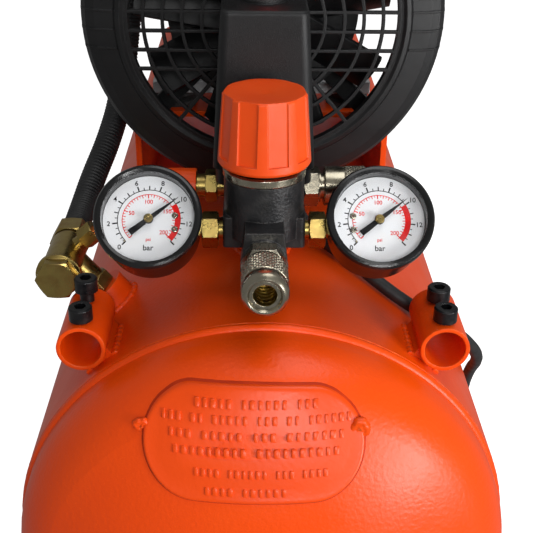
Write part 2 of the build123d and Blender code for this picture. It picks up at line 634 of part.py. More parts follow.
def make_shroud():
    depth = SHROUD_BACK_Y - SHROUD_FRONT_Y
    outer = [(83.5, -1), (85.5, -2.2), (88, -1.4), (89.5, 0.8), (101, 2.6), (106.5, 5.2), (109.5, 9.5)]
    outer += [(SHROUD_RADIUS, 15), (SHROUD_RADIUS, depth)]
    inner = [(108, depth), (108, 17), (104.5, 10.5), (98, 6), (88, 5)]
    inner += [(GRILLE_RADIUS, 5), (GRILLE_RADIUS, -1)]
    shroud = turned(outer + inner, (0, SHROUD_FRONT_Y, AXIS_Z), ALONG_Y)
    raised = Pos(0, -0.8, 0) * shroud
    for side in (-1, 1):
        for height in SIDE_RIBS:
            x = sorted((side * 88, side * 110))
            z = (AXIS_Z + height - 0.6, AXIS_Z + height + 0.6)
            shroud += raised & box(x, (SHROUD_FRONT_Y - 4, SHROUD_FRONT_Y + 12), z)
    shroud += ring_at(SHROUD_BACK_Y - 4, CASE_FRONT_Y, 54, 44)
    for turn in (45, 135, 225, 315):
        arm = box((-6, 6), (SHROUD_BACK_Y - 4, SHROUD_BACK_Y), (50, 109.5))
        shroud += Pos(0, 0, AXIS_Z) * (Rot(0, turn, 0) * arm)
    save(shroud, "fan_shroud")

    front = SHROUD_FRONT_Y - 1
    back = front + 3
    grille = ring_at(front, front + 6, GRILLE_RADIUS, GRILLE_RADIUS - 2)
    for radius in (36.8, 48.5, 60.1, 71.6):
        grille += ring_at(front, back, radius + 1, radius - 1)
    reach = along_axis(front, back, GRILLE_RADIUS - 1)
    bars = along_axis(front, back, 22)
    for height in (5.8, 17.4, 29):
        for side in (-1, 1):
            z = AXIS_Z + side * height
            bars += box((-82, 82), (front, back), (z - 0.9, z + 0.9))
    for turn in (-140, -40, 40, 140):
        spoke = box((-1, 1), (front, back), (20, 82))
        bars += Pos(0, 0, AXIS_Z) * (Rot(0, turn, 0) * spoke)
    save(grille + (bars & reach), "fan_grille")


# ---- pressure switch and safety valve ----
def rounded_loft(sizes, radius):
    """A tapered block through rounded rectangles: (width, depth, z) each."""
    faces = [Pos(0, COVER_Y, z) * RectangleRounded(w, d, radius) for w, d, z in sizes]
    return loft(faces)


def make_switch():
    manifold = box((-22, 22), (SWITCH_Y - 22, SWITCH_Y + 19), (PORT_Z - 12, PORT_Z + 12))
    manifold = fillet(manifold.edges().filter_by(Axis.Z), 5)
    base = rounded_loft([(54, 58, SWITCH_BASE_Z), (54, 58, SWITCH_BASE_Z + 9.5)], 6)
    base += manifold
    base -= rod((0, SWITCH_Y, PORT_Z - 13), (0, SWITCH_Y, PORT_Z + 4), 6.6)
    base -= rod((-23, SWITCH_Y, PORT_Z), (23, SWITCH_Y, PORT_Z), 5)
    base -= rod(MOTOR_LEAD_TOP, offset(MOTOR_LEAD_TOP, ALONG_Z, -8), MOTOR_LEAD_RADIUS)
    save(base, "switch_base")

    low = SWITCH_BASE_Z + 9.5
    cover = rounded_loft([(57, 61, low), (55.5, 60, TANK_Z + 219), (47, 56, SWITCH_TOP_Z)], 5)
    cover = fillet(cover.faces().sort_by(Axis.Z)[-1].edges(), 2.5)
    hollow = rounded_loft([(52.6, 56.6, low - 1), (51, 55.6, TANK_Z + 219), (43, 52, SWITCH_TOP_Z - 2.4)], 4)
    cover -= hollow
    top = (0, COVER_Y, SWITCH_TOP_Z)
    cover += turned([(5.05, -2.4), (13, -2.4), (13, 1.6), (12, 2.4), (5.05, 2.4)], top)
    cover -= rod(offset(top, ALONG_Z, -5), offset(top, ALONG_Z, 5), 5 + RUNNING_GAP)
    save(cover, "switch_cover")

    grip = [(0, -14), (5, -14), (5, 7.5), (9.2, 7.5), (9.8, 8.5), (9.8, 18.5), (8.3, 20), (0, 20)]
    save(turned(grip, top), "switch_knob")


def make_safety_valve():
    left = (-1, 0, 0)
    start = (-22, SWITCH_Y, PORT_Z)
    body = rod(start, offset(start, left, 5), 6.5)
    body += hexagon(17, 7, offset(start, left, 5), left)
    body += rod(offset(start, left, 12), offset(start, left, 17), 7)
    body += turned([(0, 17), (9, 17), (9.6, 18), (9.6, 37), (8.6, 38), (0, 38)], start, left)
    body -= rod(offset(start, left, 20), offset(start, left, 39), 3 + RUNNING_GAP)
    save(body, "safety_valve")
    cap = [(0, 24), (3, 24), (3, 38.6), (6.5, 38.6), (7, 39.2), (7, 43), (6, 44), (0, 44)]
    pull = turned(cap, start, left)
    loop = Plane(origin=offset(start, left, 51), x_dir=ALONG_X, z_dir=ALONG_Y).location * Torus(9.5, 1.0)
    pull -= rod((start[0] - 41.6, SWITCH_Y - 9, PORT_Z), (start[0] - 41.6, SWITCH_Y + 9, PORT_Z), 1.1)
    save(group(pull, loop), "safety_valve_ring")


# ---- regulator and gauges ----
BONNET_RADIUS = 15.5
BODY_TOP_Z = TANK_Z + 213.0


def make_regulator():
    base = (0, REG_Y, 0)
    body = box((-22, 22), (REG_Y - 13, REG_Y + 15), (TANK_Z + 175.5, TANK_Z + 193))
    body = fillet(body.edges().filter_by(Axis.Z), 2.5)
    body += rod((0, REG_Y, TANK_Z + 181), (0, REG_Y, BODY_TOP_Z), 21.5)
    boss = [(-12.5, TANK_Z + 172), (12.5, TANK_Z + 172), (10, TANK_Z + 194), (-10, TANK_Z + 194)]
    boss = extrude(Plane.XZ * make_face(Polyline(*boss, close=True)), amount=18)
    body += Pos(0, SEAM_Y + 20, 0) * boss
    body += rod((0, REG_Y, BODY_TOP_Z), (0, REG_Y, TANK_Z + 245), BONNET_RADIUS)
    body -= rod((0, REG_Y, TANK_Z + 219), (0, REG_Y, TANK_Z + 246), 11)
    body -= rod((0, REG_Y, TANK_Z + 200), (0, REG_Y, TANK_Z + 220), 4 + RUNNING_GAP)
    body += rod((0, REG_Y - 18, COUPLER_Z), (0, SEAM_Y + 1, COUPLER_Z), 11.5)
    body += rod((0, REG_Y + 18, PORT_Z), (0, SWITCH_Y - 22, PORT_Z), 10)
    save(body, "regulator_body")

    ring = [(BONNET_RADIUS, 0), (21.4, 0), (22, 0.8), (22, 4.2), (20.8, 5.2), (BONNET_RADIUS, 5.2)]
    save(turned(ring, offset(base, ALONG_Z, BODY_TOP_Z)), "regulator_ring_nut")

    shaft = rod((0, REG_Y, TANK_Z + 202), (0, REG_Y, TANK_Z + 250), 4)
    shaft += rod((0, REG_Y, TANK_Z + 221), (0, REG_Y, TANK_Z + 225), 8)
    save(shaft, "regulator_spindle")

    height = KNOB_TOP_Z - KNOB_BASE_Z
    outer = [(0, 0), (KNOB_BASE_RADIUS - 1, 0), (KNOB_BASE_RADIUS, 1.5), (KNOB_TOP_RADIUS, height - 1)]
    outer += [(KNOB_TOP_RADIUS - 1, height), (KNOB_TOP_RADIUS - 3.5, height), (0, height - 1.6)]
    knob = turned(outer, (0, REG_Y, KNOB_BASE_Z))
    slope = math.degrees(math.atan((KNOB_BASE_RADIUS - KNOB_TOP_RADIUS) / height))
    for step in range(KNOB_GROOVES):
        turn = KNOB_FIRST_GROOVE + step * 360 / KNOB_GROOVES
        cutter = Box(10.8, 3.2, height, align=(Align.CENTER, Align.MAX, Align.MIN))
        cutter = fillet(cutter.edges().filter_by(Axis.Z).sort_by(Axis.Y)[-2:], 0.8)
        cutter = Pos(0, 1.7 - KNOB_BASE_RADIUS, 5) * (Rot(-slope, 0, 0) * cutter)
        knob -= Pos(0, REG_Y, KNOB_BASE_Z) * (Rot(0, 0, turn) * cutter)
    knob -= turned([(0, -1), (20.2, -1), (17.8, height - 6), (0, height - 6)], (0, REG_Y, KNOB_BASE_Z))
    knob += rod((0, REG_Y, TANK_Z + 230), (0, REG_Y, KNOB_TOP_Z - 4), 9)
    knob -= rod((0, REG_Y, TANK_Z + 229), (0, REG_Y, TANK_Z + 251), 4 + RUNNING_GAP)
    save(knob, "regulator_knob")


def gauge_plane(side):
    """The gauge's own frame: at its stem's axis, its Z out of the dial."""
    turn = math.radians(GAUGE_TILT)
    face = (0, -math.cos(turn), math.sin(turn))
    return Plane(origin=(side * GAUGE_X, REG_Y, GAUGE_Z), x_dir=ALONG_X, z_dir=face)


def revolved(profile):
    outline = Polyline(*[(r, 0, h) for r, h in profile], close=True)
    return revolve(make_face(outline), Axis.Z)


def make_gauges():
    seat = 17.0
    case = [(0, -9), (22, -9), (25, -7.5), (GAUGE_CASE_RADIUS, -5), (GAUGE_CASE_RADIUS, 18.5)]
    case += [(27.6, 19.4), (BEZEL_RADIUS, 20.4), (BEZEL_RADIUS, 24.2), (27.6, 25.7), (26.2, 26)]
    case += [(WINDOW_RADIUS, 25.2), (WINDOW_RADIUS, seat), (1.05, seat), (1.05, 12), (0, 12)]
    dial = [(1.05, seat), (24.3, seat), (24.3, seat + 0.8), (1.05, seat + 0.8)]
    lens = [(0, 22.6), (24.4, 22.6), (24.4, 24.2), (0, 24.6)]
    cases, dials, lenses, stems = [], [], [], []
    for side in (-1, 1):
        place = gauge_plane(side).location
        solid_case = place * revolved(case)
        cases.append(solid_case)
        dials.append(place * revolved(dial))
        lenses.append(place * revolved(lens))
        start = (side * 22, REG_Y, GAUGE_Z)
        outward = (side, 0, 0)
        stem = rod(start, offset(start, outward, 4), 5.2)
        stem += hexagon(17.5, 9, offset(start, outward, 2.6), outward)
        stem += rod(start, offset(start, outward, 16), 4.5)
        blank = [(0, -9), (GAUGE_CASE_RADIUS, -9), (GAUGE_CASE_RADIUS, 26), (0, 26)]
        stems.append(stem - place * revolved(blank))
        needle = Polyline((-1.7, -12.3), (1.7, -12.3), (1.1, 5), (0, 19.7), (-1.1, 5), close=True)
        pointer = extrude(Plane.XY.offset(19.2) * make_face(needle), amount=0.7)
        pointer = Rot(0, 0, NEEDLE_ANGLE) * pointer
        pointer += revolved([(0, 13), (1, 13), (1, 19.2), (2.6, 19.2), (2.6, 20.4), (2, 21), (0, 21)])
        save(place * pointer, "gauge_needle_left" if side < 0 else "gauge_needle_right")
    save(group(*cases), "gauge_cases")
    save(group(*dials), "gauge_dials")
    save(group(*lenses), "gauge_lenses")
    return stems


# ---- quick couplers ----
def coupler(origin, direction):
    """The fixed half: hexagon, shoulder and the bored nose that takes the plug."""
    body = hexagon(COUPLER_FLATS, 9, origin, direction)
    body += turned([(0, 9), (9.6, 9), (9.6, 10), (7.8, 10), (7.8, 36.5), (0, 36.5)], origin, direction)
    nose = offset(origin, direction, 14)
    body -= rod(nose, offset(origin, direction, 37), PLUG_BORE)
    return body - rod(offset(origin, direction, -1), nose, 4)


def sleeve(origin, direction):
    """The sliding half, knurled in the middle, with a plain bevelled ring in front."""
    start = COUPLER_REACH - SLEEVE_LENGTH + 1
    inner = 7.8 + RUNNING_GAP
    profile = [(inner, start), (10.8, start), (SLEEVE_RADIUS, start + 0.8), (SLEEVE_RADIUS, 27.5)]
    profile += [(10.4, 28), (10.4, 29), (SLEEVE_RADIUS, 29.5), (SLEEVE_RADIUS, 35.5)]
    profile += [(9.6, COUPLER_REACH), (SLEEVE_MOUTH + 0.6, COUPLER_REACH), (inner, 37.4)]
    return turned(profile, origin, direction)


def make_couplers():
    front = ((0, SEAM_Y + 1, COUPLER_Z), (0, -1, 0))
    side = ((24, SWITCH_Y, PORT_Z), (1, 0, 0))
    save(group(coupler(*front), coupler(*side)), "coupler_bodies")
    save(sleeve(*front), "coupler_front_sleeve")
    save(sleeve(*side), "coupler_side_sleeve")


# ---- check valve, hose and pipes ----
VALVE_AXIS = bung_axis("valve", VALVE_DISTANCE)
VALVE_FRONT_Y = VALVE_Y - 34.0
NUT_Y = VALVE_Y + 14.0
UNLOADER_DIRECTION = (0.75, 0, 0.661)


def make_check_valve():
    x, y, z = VALVE_AXIS
    back = ALONG_Y
    body = rod((x, VALVE_FRONT_Y + 12, z), (x, NUT_Y - 4, z), 11)
    body += rod((x, NUT_Y - 5, z), (x, NUT_Y + 2, z), 8)
    neck = bung_axis("valve", TANK_RADIUS + 13)
    outward = radial(-VALVE_ANGLE, 1.0)
    outward = (outward[0], 0, outward[1] - TANK_Z)
    body += rod(bung_axis("valve", TANK_RADIUS), VALVE_AXIS, 8.3)
    body += hexagon(19, 8, neck, outward)
    body += rod(VALVE_AXIS, offset(VALVE_AXIS, UNLOADER_DIRECTION, 15), 4.5)
    plug = turned([(0, 6), (10, 6), (13.2, 7), (13.2, 10), (12, 12), (0, 12)], (x, VALVE_FRONT_Y, z), back)
    plug += hexagon(22, 7, (x, VALVE_FRONT_Y, z), back)
    save(group(body, plug), "check_valve")
    nut = hexagon(22, 15, (x, NUT_Y - 1, z), back) - rod((x, NUT_Y - 2, z), (x, NUT_Y + 2, z), 8)
    nut -= rod((x, NUT_Y + 2, z), (x, NUT_Y + 15, z), HOSE_RADIUS)
    small = hexagon(12, 10, offset(VALVE_AXIS, UNLOADER_DIRECTION, 15), UNLOADER_DIRECTION)
    tube_start = offset(VALVE_AXIS, UNLOADER_DIRECTION, 24)
    small -= rod(tube_start, offset(tube_start, UNLOADER_DIRECTION, 2), 3)
    return [nut, small]


def make_hose():
    x, y, z = VALVE_AXIS
    start = (x, NUT_Y + 2, z)
    end = (-64, CYLINDER_Y, PORT_HEIGHT_Z - 24)
    route = [start, (x, -219, z), (-112.5, -192, 396), (-104.5, -167, 412), (-98.5, -140, 431)]
    route += [(-95, -120, 460), (-90, -113, 499), (-82, -115, 540), (-71, -122, 579), end]
    save(swept(route, bend_radii(route), HOSE_RADIUS), "discharge_hose")
    elbow_z = PORT_HEIGHT_Z
    elbow = rod((-HEAD_X + 6, CYLINDER_Y, elbow_z), (-64, CYLINDER_Y, elbow_z), 6)
    elbow += rod((-64, CYLINDER_Y, elbow_z + 6), (-64, CYLINDER_Y, elbow_z - 12), 7.5)
    elbow += Pos(-64, CYLINDER_Y, elbow_z + 6) * Sphere(7.5)
    nut = hexagon(22, 16, (-64, CYLINDER_Y, elbow_z - 12), (0, 0, -1))
    run = Vector(*route[-2]) - Vector(*end)
    nut -= rod(end, offset(end, tuple(run.normalized()), 20), HOSE_RADIUS)
    return [elbow + nut]


def make_fittings(pieces):
    nipple = rod((0, SWITCH_Y, TANK_Z + TANK_RADIUS - 4), (0, SWITCH_Y, PORT_Z - 4), 6.6)
    nipple += hexagon(19, 9, (0, SWITCH_Y, TANK_Z + 157.5), ALONG_Z)
    side = rod((22, SWITCH_Y, PORT_Z), (24, SWITCH_Y, PORT_Z), 7.5)
    save(group(nipple, side, *pieces), "brass_fittings")


def make_unloader():
    start = offset(VALVE_AXIS, UNLOADER_DIRECTION, 24)
    route = [start, offset(VALVE_AXIS, UNLOADER_DIRECTION, 38), (-72, -272, 403), (-48, -268, 398)]
    route += [(-26, -258, 395), (-14, -250, 396), (-14, -250, PORT_Z - 12)]
    save(swept(route, bend_radii(route), 3), "unloader_tube")


# ---- cables ----
CORD_ROUTE = [
    (16, -234, 427), (16, -234, 408), (23.5, -240.6, 390.7), (37, -253, 380.6), (55, -270, 375.3),
    (73, -285, 365.3), (92, -290, 353.3), (111, -284.5, 339.5), (128.5, -273, 321.5),
    (141, -259, 302), (146.3, -241, 283.5), (147.6, -223, 266.5), (148, -209, 243), (148, -204, 213),
    (148, -209, 172), (147.8, -221, 130), (147.6, -230, 91), (147.3, -232, 54), (147.2, -222.9, 30.3),
    (147, -206, 13.4), (146.5, -183.9, 4.4), (146, -164.3, 4.3),
]
TAIL_ROUTE = [
    (54, -164.3, 12.5), (53.3, -176.5, 14.1), (51.3, -192.5, 18.5), (50, -204, 19), (50, -215.5, 19.1),
]
PLUG_PLACE = (50, -211, 19)


def make_cord():
    below = (0, 0, -1)
    gland = [(0, 0), (6.8, 0), (6.8, 3), (6.2, 4), (5.5, 14), (0, 14)]
    bore = rod(GLAND, offset(GLAND, below, 15), CORD_RADIUS)
    save(turned(gland, GLAND, below) - bore, "cord_gland")
    radii = bend_radii(CORD_ROUTE)
    print("cord bend radii", [round(r) for r in radii])
    lead = swept(CORD_ROUTE, radii, CORD_RADIUS)
    radii = bend_radii(TAIL_ROUTE)
    print("tail bend radii", [round(r) for r in radii])
    tail = swept(TAIL_ROUTE, radii, CORD_RADIUS)
    save(group(lead, tail), "power_cord")
    inner = COIL_MEAN_RADIUS - 8
    outer = COIL_MEAN_RADIUS + 8
    coil = [(inner, 0.3), (outer, 0.3), (outer, 16.5), (inner, 16.5)]
    save(turned(coil, (*COIL_CENTRE, 0)), "power_cord_coil")

    forward = (0, -1, 0)
    shape = [(0, 0), (6, 0), (8, 8), (17, 14), (19, 17), (19, 40), (18, 42), (0, 42)]
    x, y, z = PLUG_PLACE
    plug = turned(shape, PLUG_PLACE, forward) - rod((x, y + 1, z), (x, y - 5, z), CORD_RADIUS + 0.3)
    for side in (-9.5, 9.5):
        plug += rod((x + side, y - 41, z), (x + side, y - 61, z), 2.4)
    save(plug, "power_plug")

    x, y, z = MOTOR_LEAD_TOP
    route = [MOTOR_LEAD_TOP, (x, y, 406), (x + 2, y + 14, 389.5), (-5, -192, 388)]
    route += [(2, -150, 388.5), (14, -108, 394)]
    x, y, z = MOTOR_LEAD_END
    route += [(x - 4, y - 32, 399), (x, y, 410), MOTOR_LEAD_END]
    radii = bend_radii(route)
    print("motor lead bend radii", [round(r) for r in radii])
    save(swept(route, radii, MOTOR_LEAD_RADIUS), "motor_cable")


# ---- the whole machine ----
os.makedirs("parts", exist_ok=True)
make_tank()
make_stand()
make_wheels()
make_drain()
make_platform()
make_screws()
make_crankcase()
make_running_gear()
make_cylinder()
make_motor()
make_fan()
make_shroud()
make_switch()
make_safety_valve()
make_regulator()
gauge_stems = make_gauges()
make_couplers()
make_fittings(gauge_stems + make_check_valve() + make_hose())
make_unloader()
make_cord()
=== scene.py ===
import json
import math

import bmesh
import bpy
from mathutils import Matrix, Vector


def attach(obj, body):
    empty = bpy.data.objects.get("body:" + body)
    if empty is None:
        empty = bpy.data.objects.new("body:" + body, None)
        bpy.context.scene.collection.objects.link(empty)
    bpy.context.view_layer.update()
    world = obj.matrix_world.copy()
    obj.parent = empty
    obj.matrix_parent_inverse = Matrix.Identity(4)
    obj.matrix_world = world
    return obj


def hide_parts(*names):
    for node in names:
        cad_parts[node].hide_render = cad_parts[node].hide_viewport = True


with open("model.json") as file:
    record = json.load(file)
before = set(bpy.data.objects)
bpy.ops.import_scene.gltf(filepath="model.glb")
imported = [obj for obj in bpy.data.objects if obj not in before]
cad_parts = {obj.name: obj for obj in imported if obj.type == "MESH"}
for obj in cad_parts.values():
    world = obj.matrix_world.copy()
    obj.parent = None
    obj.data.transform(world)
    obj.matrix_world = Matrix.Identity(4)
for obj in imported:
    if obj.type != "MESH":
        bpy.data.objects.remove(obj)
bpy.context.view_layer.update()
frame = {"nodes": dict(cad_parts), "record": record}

NODES = frame["nodes"]
MM = 0.001

# ---- the places that the CAD model gives, in millimetres ----
TANK_Z = 237.5
TANK_R = 142.5
HEAD_R = 140.0
HEAD_CROWN = 224.0
HEAD_KNUCKLE = 41.0
HEAD_STRAIGHT = 12.0
SOCKET_X = 99.3
SOCKET_RISE = 123.4
PLATFORM_HALF_X = 87.0
PLATFORM_RUN = (-158, 72)
SEAM_Y = -350.0
REG_Y = -314.0
SWITCH_Y = -260.0
PORT_Z = 420.5
COUPLER_Z = 416.5
GAUGE_Z = 417.5
GAUGE_X = 61.0
GAUGE_TILT = math.radians(42)


# ---- mesh tools ----
def place_object(name, data):
    obj = bpy.data.objects.new(name, data)
    bpy.context.scene.collection.objects.link(obj)
    return obj


def new_mesh(name, bm, smooth=40):
    """An object from a bmesh in millimetres."""
    bmesh.ops.recalc_face_normals(bm, faces=bm.faces)
    bmesh.ops.scale(bm, vec=(MM, MM, MM), verts=bm.verts)
    mesh = bpy.data.meshes.new(name)
    bm.to_mesh(mesh)
    bm.free()
    obj = place_object(name, mesh)
    for face in mesh.polygons:
        face.use_smooth = True
    mesh.set_sharp_from_angle(angle=math.radians(smooth))
    return obj


def frame_at(origin, direction, up=(0, 0, 1)):
    """A matrix whose Z runs along a direction."""
    z = Vector(direction).normalized()
    x = Vector(up).cross(z)
    if x.length < 1e-4:
        x = Vector((0, 1, 0)).cross(z)
    x.normalize()
    y = z.cross(x)
    return Matrix.Translation(Vector(origin)) @ Matrix((x, y, z)).transposed().to_4x4()


def bridge(bm, near, far):
    """Quads between two closed rings of points."""
    for k in range(len(near)):
        j = (k + 1) % len(near)
        bm.faces.new((near[k], near[j], far[j], far[k]))


def lathe(bm, profile, place=Matrix(), steps=64, wobble=None):
    """Turns a closed (radius, height) outline about Z."""
    rings = []
    for k in range(steps):
        turn = 2 * math.pi * k / steps
        ring = []
        for i, (r, h) in enumerate(profile):
            if wobble:
                r = r + wobble(i, turn, h)
            ring.append(bm.verts.new(place @ Vector((r * math.cos(turn), r * math.sin(turn), h))))
        rings.append(ring)
    for k in range(steps):
        bridge(bm, rings[k], rings[(k + 1) % steps])


def sweep(bm, points, radius, sides=16, closed=False, flat=1.0, caps=True):
    """A round bar along points; radius is a number or a function of the point's index."""
    points = [Vector(p) for p in points]
    count = len(points)
    tangents = []
    for i in range(count):
        before = points[i - 1] if closed or i else points[0]
        after = points[(i + 1) % count] if closed or i + 1 < count else points[-1]
        tangents.append((after - before).normalized())
    side = tangents[0].orthogonal().normalized()
    rings = []
    for i, (point, run) in enumerate(zip(points, tangents)):
        side = (side - run * side.dot(run)).normalized()
        other = run.cross(side)
        r = radius(i) if callable(radius) else radius
        ring = []
        for k in range(sides):
            turn = 2 * math.pi * k / sides
            out = side * (r * math.cos(turn)) + other * (r * flat * math.sin(turn))
            ring.append(bm.verts.new(point + out))
        rings.append(ring)
    last = count if closed else count - 1
    for i in range(last):
        bridge(bm, rings[i], rings[(i + 1) % count])
    if caps and not closed:
        bm.faces.new(list(reversed(rings[0])))
        bm.faces.new(rings[-1])


def prism(bm, outline, low, high, place=Matrix()):
    """An upright block over a flat (x, y) outline."""
    base = [bm.verts.new(place @ Vector((x, y, low))) for x, y in outline]
    top = [bm.verts.new(place @ Vector((x, y, high))) for x, y in outline]
    bm.faces.new(list(reversed(base)))
    bm.faces.new(top)
    count = len(outline)
    for i in range(count):
        j = (i + 1) % count
        bm.faces.new((base[i], base[j], top[j], top[i]))


def sector(bm, inner, outer, start, end, low, high, place, steps=1):
    """A flat piece of a ring between two angles in degrees."""
    turns = [math.radians(start + (end - start) * k / steps) for k in range(steps + 1)]
    outline = [(outer * math.cos(t), outer * math.sin(t)) for t in turns]
    outline += [(inner * math.cos(t), inner * math.sin(t)) for t in reversed(turns)]
    prism(bm, outline, low, high, place)


def ride(obj, body, finish):
    """Gives a piece its material and its body."""
    obj.data.materials.clear()
    obj.data.materials.append(finish)
    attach(obj, body)
    return obj


def spline_points(route):
    """Points along the smooth curve that a route's control points make, in millimetres."""
    curve = nurbs("route", route)
    obj = place_object("route", curve)
    bpy.context.view_layer.update()
    mesh = bpy.data.meshes.new_from_object(obj.evaluated_get(bpy.context.evaluated_depsgraph_get()))
    points = [v.co / MM for v in mesh.vertices]
    bpy.data.objects.remove(obj)
    bpy.data.curves.remove(curve)
    bpy.data.meshes.remove(mesh)
    return points


def nurbs(name, route):
    """A smooth curve with the route's points as its control points."""
    curve = bpy.data.curves.new(name, "CURVE")
    curve.dimensions = "3D"
    spline = curve.splines.new("NURBS")
    spline.points.add(len(route) - 1)
    for point, place in zip(spline.points, route):
        point.co = (*(Vector(place) * MM), 1)
    spline.order_u = 3
    spline.use_endpoint_u = True
    curve.resolution_u = 12
    return curve


def evenly(points, step):
    """Points a fixed step apart along a line."""
    found = [points[0].copy()]
    left = step
    for near, far in zip(points, points[1:]):
        run = (far - near).length
        along = 0.0
        while run - along >= left:
            along += left
            found.append(near.lerp(far, along / run))
            left = step
        left -= run - along
    return found


# ---- materials ----
class Finish:
    """A Principled material with a few procedural layers."""

    def __init__(self, name, color, rough, metal=0.0, **sockets):
        self.mat = bpy.data.materials.new(name)
        self.mat.use_nodes = True
        self.mat.diffuse_color = (*color, 1)
        self.nodes = self.mat.node_tree.nodes
        self.links = self.mat.node_tree.links
        self.shader = self.nodes["Principled BSDF"]
        self.color = color
        self.shader.inputs["Base Color"].default_value = (*color, 1)
        self.shader.inputs["Roughness"].default_value = rough
        self.shader.inputs["Metallic"].default_value = metal
        for key, value in sockets.items():
            self.shader.inputs[key.replace("_", " ")].default_value = value
        self.coords = self.nodes.new("ShaderNodeTexCoord").outputs["Object"]
        self.normal = None
        self.tint = None

    def noise(self, scale, detail=3.0, stretch=None):
        node = self.nodes.new("ShaderNodeTexNoise")
        node.inputs["Scale"].default_value = scale
        node.inputs["Detail"].default_value = detail
        source = self.coords
        if stretch:
            mapping = self.nodes.new("ShaderNodeMapping")
            mapping.inputs["Scale"].default_value = stretch
            self.links.new(source, mapping.inputs["Vector"])
            source = mapping.outputs["Vector"]
        self.links.new(source, node.inputs["Vector"])
        return node.outputs["Fac"]

    def spread(self, value, low, high, to_low, to_high):
        node = self.nodes.new("ShaderNodeMapRange")
        for key, number in zip(("From Min", "From Max", "To Min", "To Max"), (low, high, to_low, to_high)):
            node.inputs[key].default_value = number
        self.links.new(value, node.inputs["Value"])
        return node.outputs["Result"]

    def blend(self, factor, color):
        """Lays another colour over what is there where the factor is high."""
        node = self.nodes.new("ShaderNodeMix")
        node.data_type = "RGBA"
        self.links.new(factor, node.inputs["Factor"])
        node.inputs["A"].default_value = (*self.color, 1)
        node.inputs["B"].default_value = (*color, 1)
        if self.tint:
            self.links.new(self.tint, node.inputs["A"])
        self.tint = node.outputs["Result"]
        self.links.new(self.tint, self.shader.inputs["Base Color"])
        return self

    def mottle(self, scale, color, low=0.45, high=0.75, stretch=None):
        return self.blend(self.spread(self.noise(scale, 4.0, stretch), low, high, 0.0, 1.0), color)

    def rough(self, scale, low, high, stretch=None):
        value = self.spread(self.noise(scale, 4.0, stretch), 0.3, 0.7, low, high)
        self.links.new(value, self.shader.inputs["Roughness"])
        return self

    def bump(self, height, depth, strength=1.0):
        node = self.nodes.new("ShaderNodeBump")
        node.inputs["Distance"].default_value = depth
        node.inputs["Strength"].default_value = strength
        self.links.new(height, node.inputs["Height"])
        if self.normal:
            self.links.new(self.normal, node.inputs["Normal"])
        self.normal = node.outputs["Normal"]
        self.links.new(self.normal, self.shader.inputs["Normal"])
        return self

    def grain(self, scale, depth, stretch=None, detail=2.0):
        return self.bump(self.noise(scale, detail, stretch), depth)

    def soften(self, radius):
        """Rounds the look of sharp machined edges."""
        node = self.nodes.new("ShaderNodeBevel")
        node.samples = 4
        node.inputs["Radius"].default_value = radius
        self.normal = node.outputs["Normal"]
        self.links.new(self.normal, self.shader.inputs["Normal"])
        return self

    def edges(self, radius, color, amount=1.0):
        """Wears the colour away along edges, where the softened and true normals differ."""
        soft = self.nodes.new("ShaderNodeBevel")
        soft.samples = 4
        soft.inputs["Radius"].default_value = radius
        true = self.nodes.new("ShaderNodeNewGeometry")
        dot = self.nodes.new("ShaderNodeVectorMath")
        dot.operation = "DOT_PRODUCT"
        self.links.new(soft.outputs["Normal"], dot.inputs[0])
        self.links.new(true.outputs["Normal"], dot.inputs[1])
        worn = self.spread(dot.outputs["Value"], 0.97, 0.82, 0.0, amount)
        breakup = self.spread(self.noise(260.0, 5.0), 0.42, 0.6, 0.0, 1.0)
        both = self.nodes.new("ShaderNodeMath")
        both.operation = "MULTIPLY"
        self.links.new(worn, both.inputs[0])
        self.links.new(breakup, both.inputs[1])
        return self.blend(both.outputs["Value"], color)


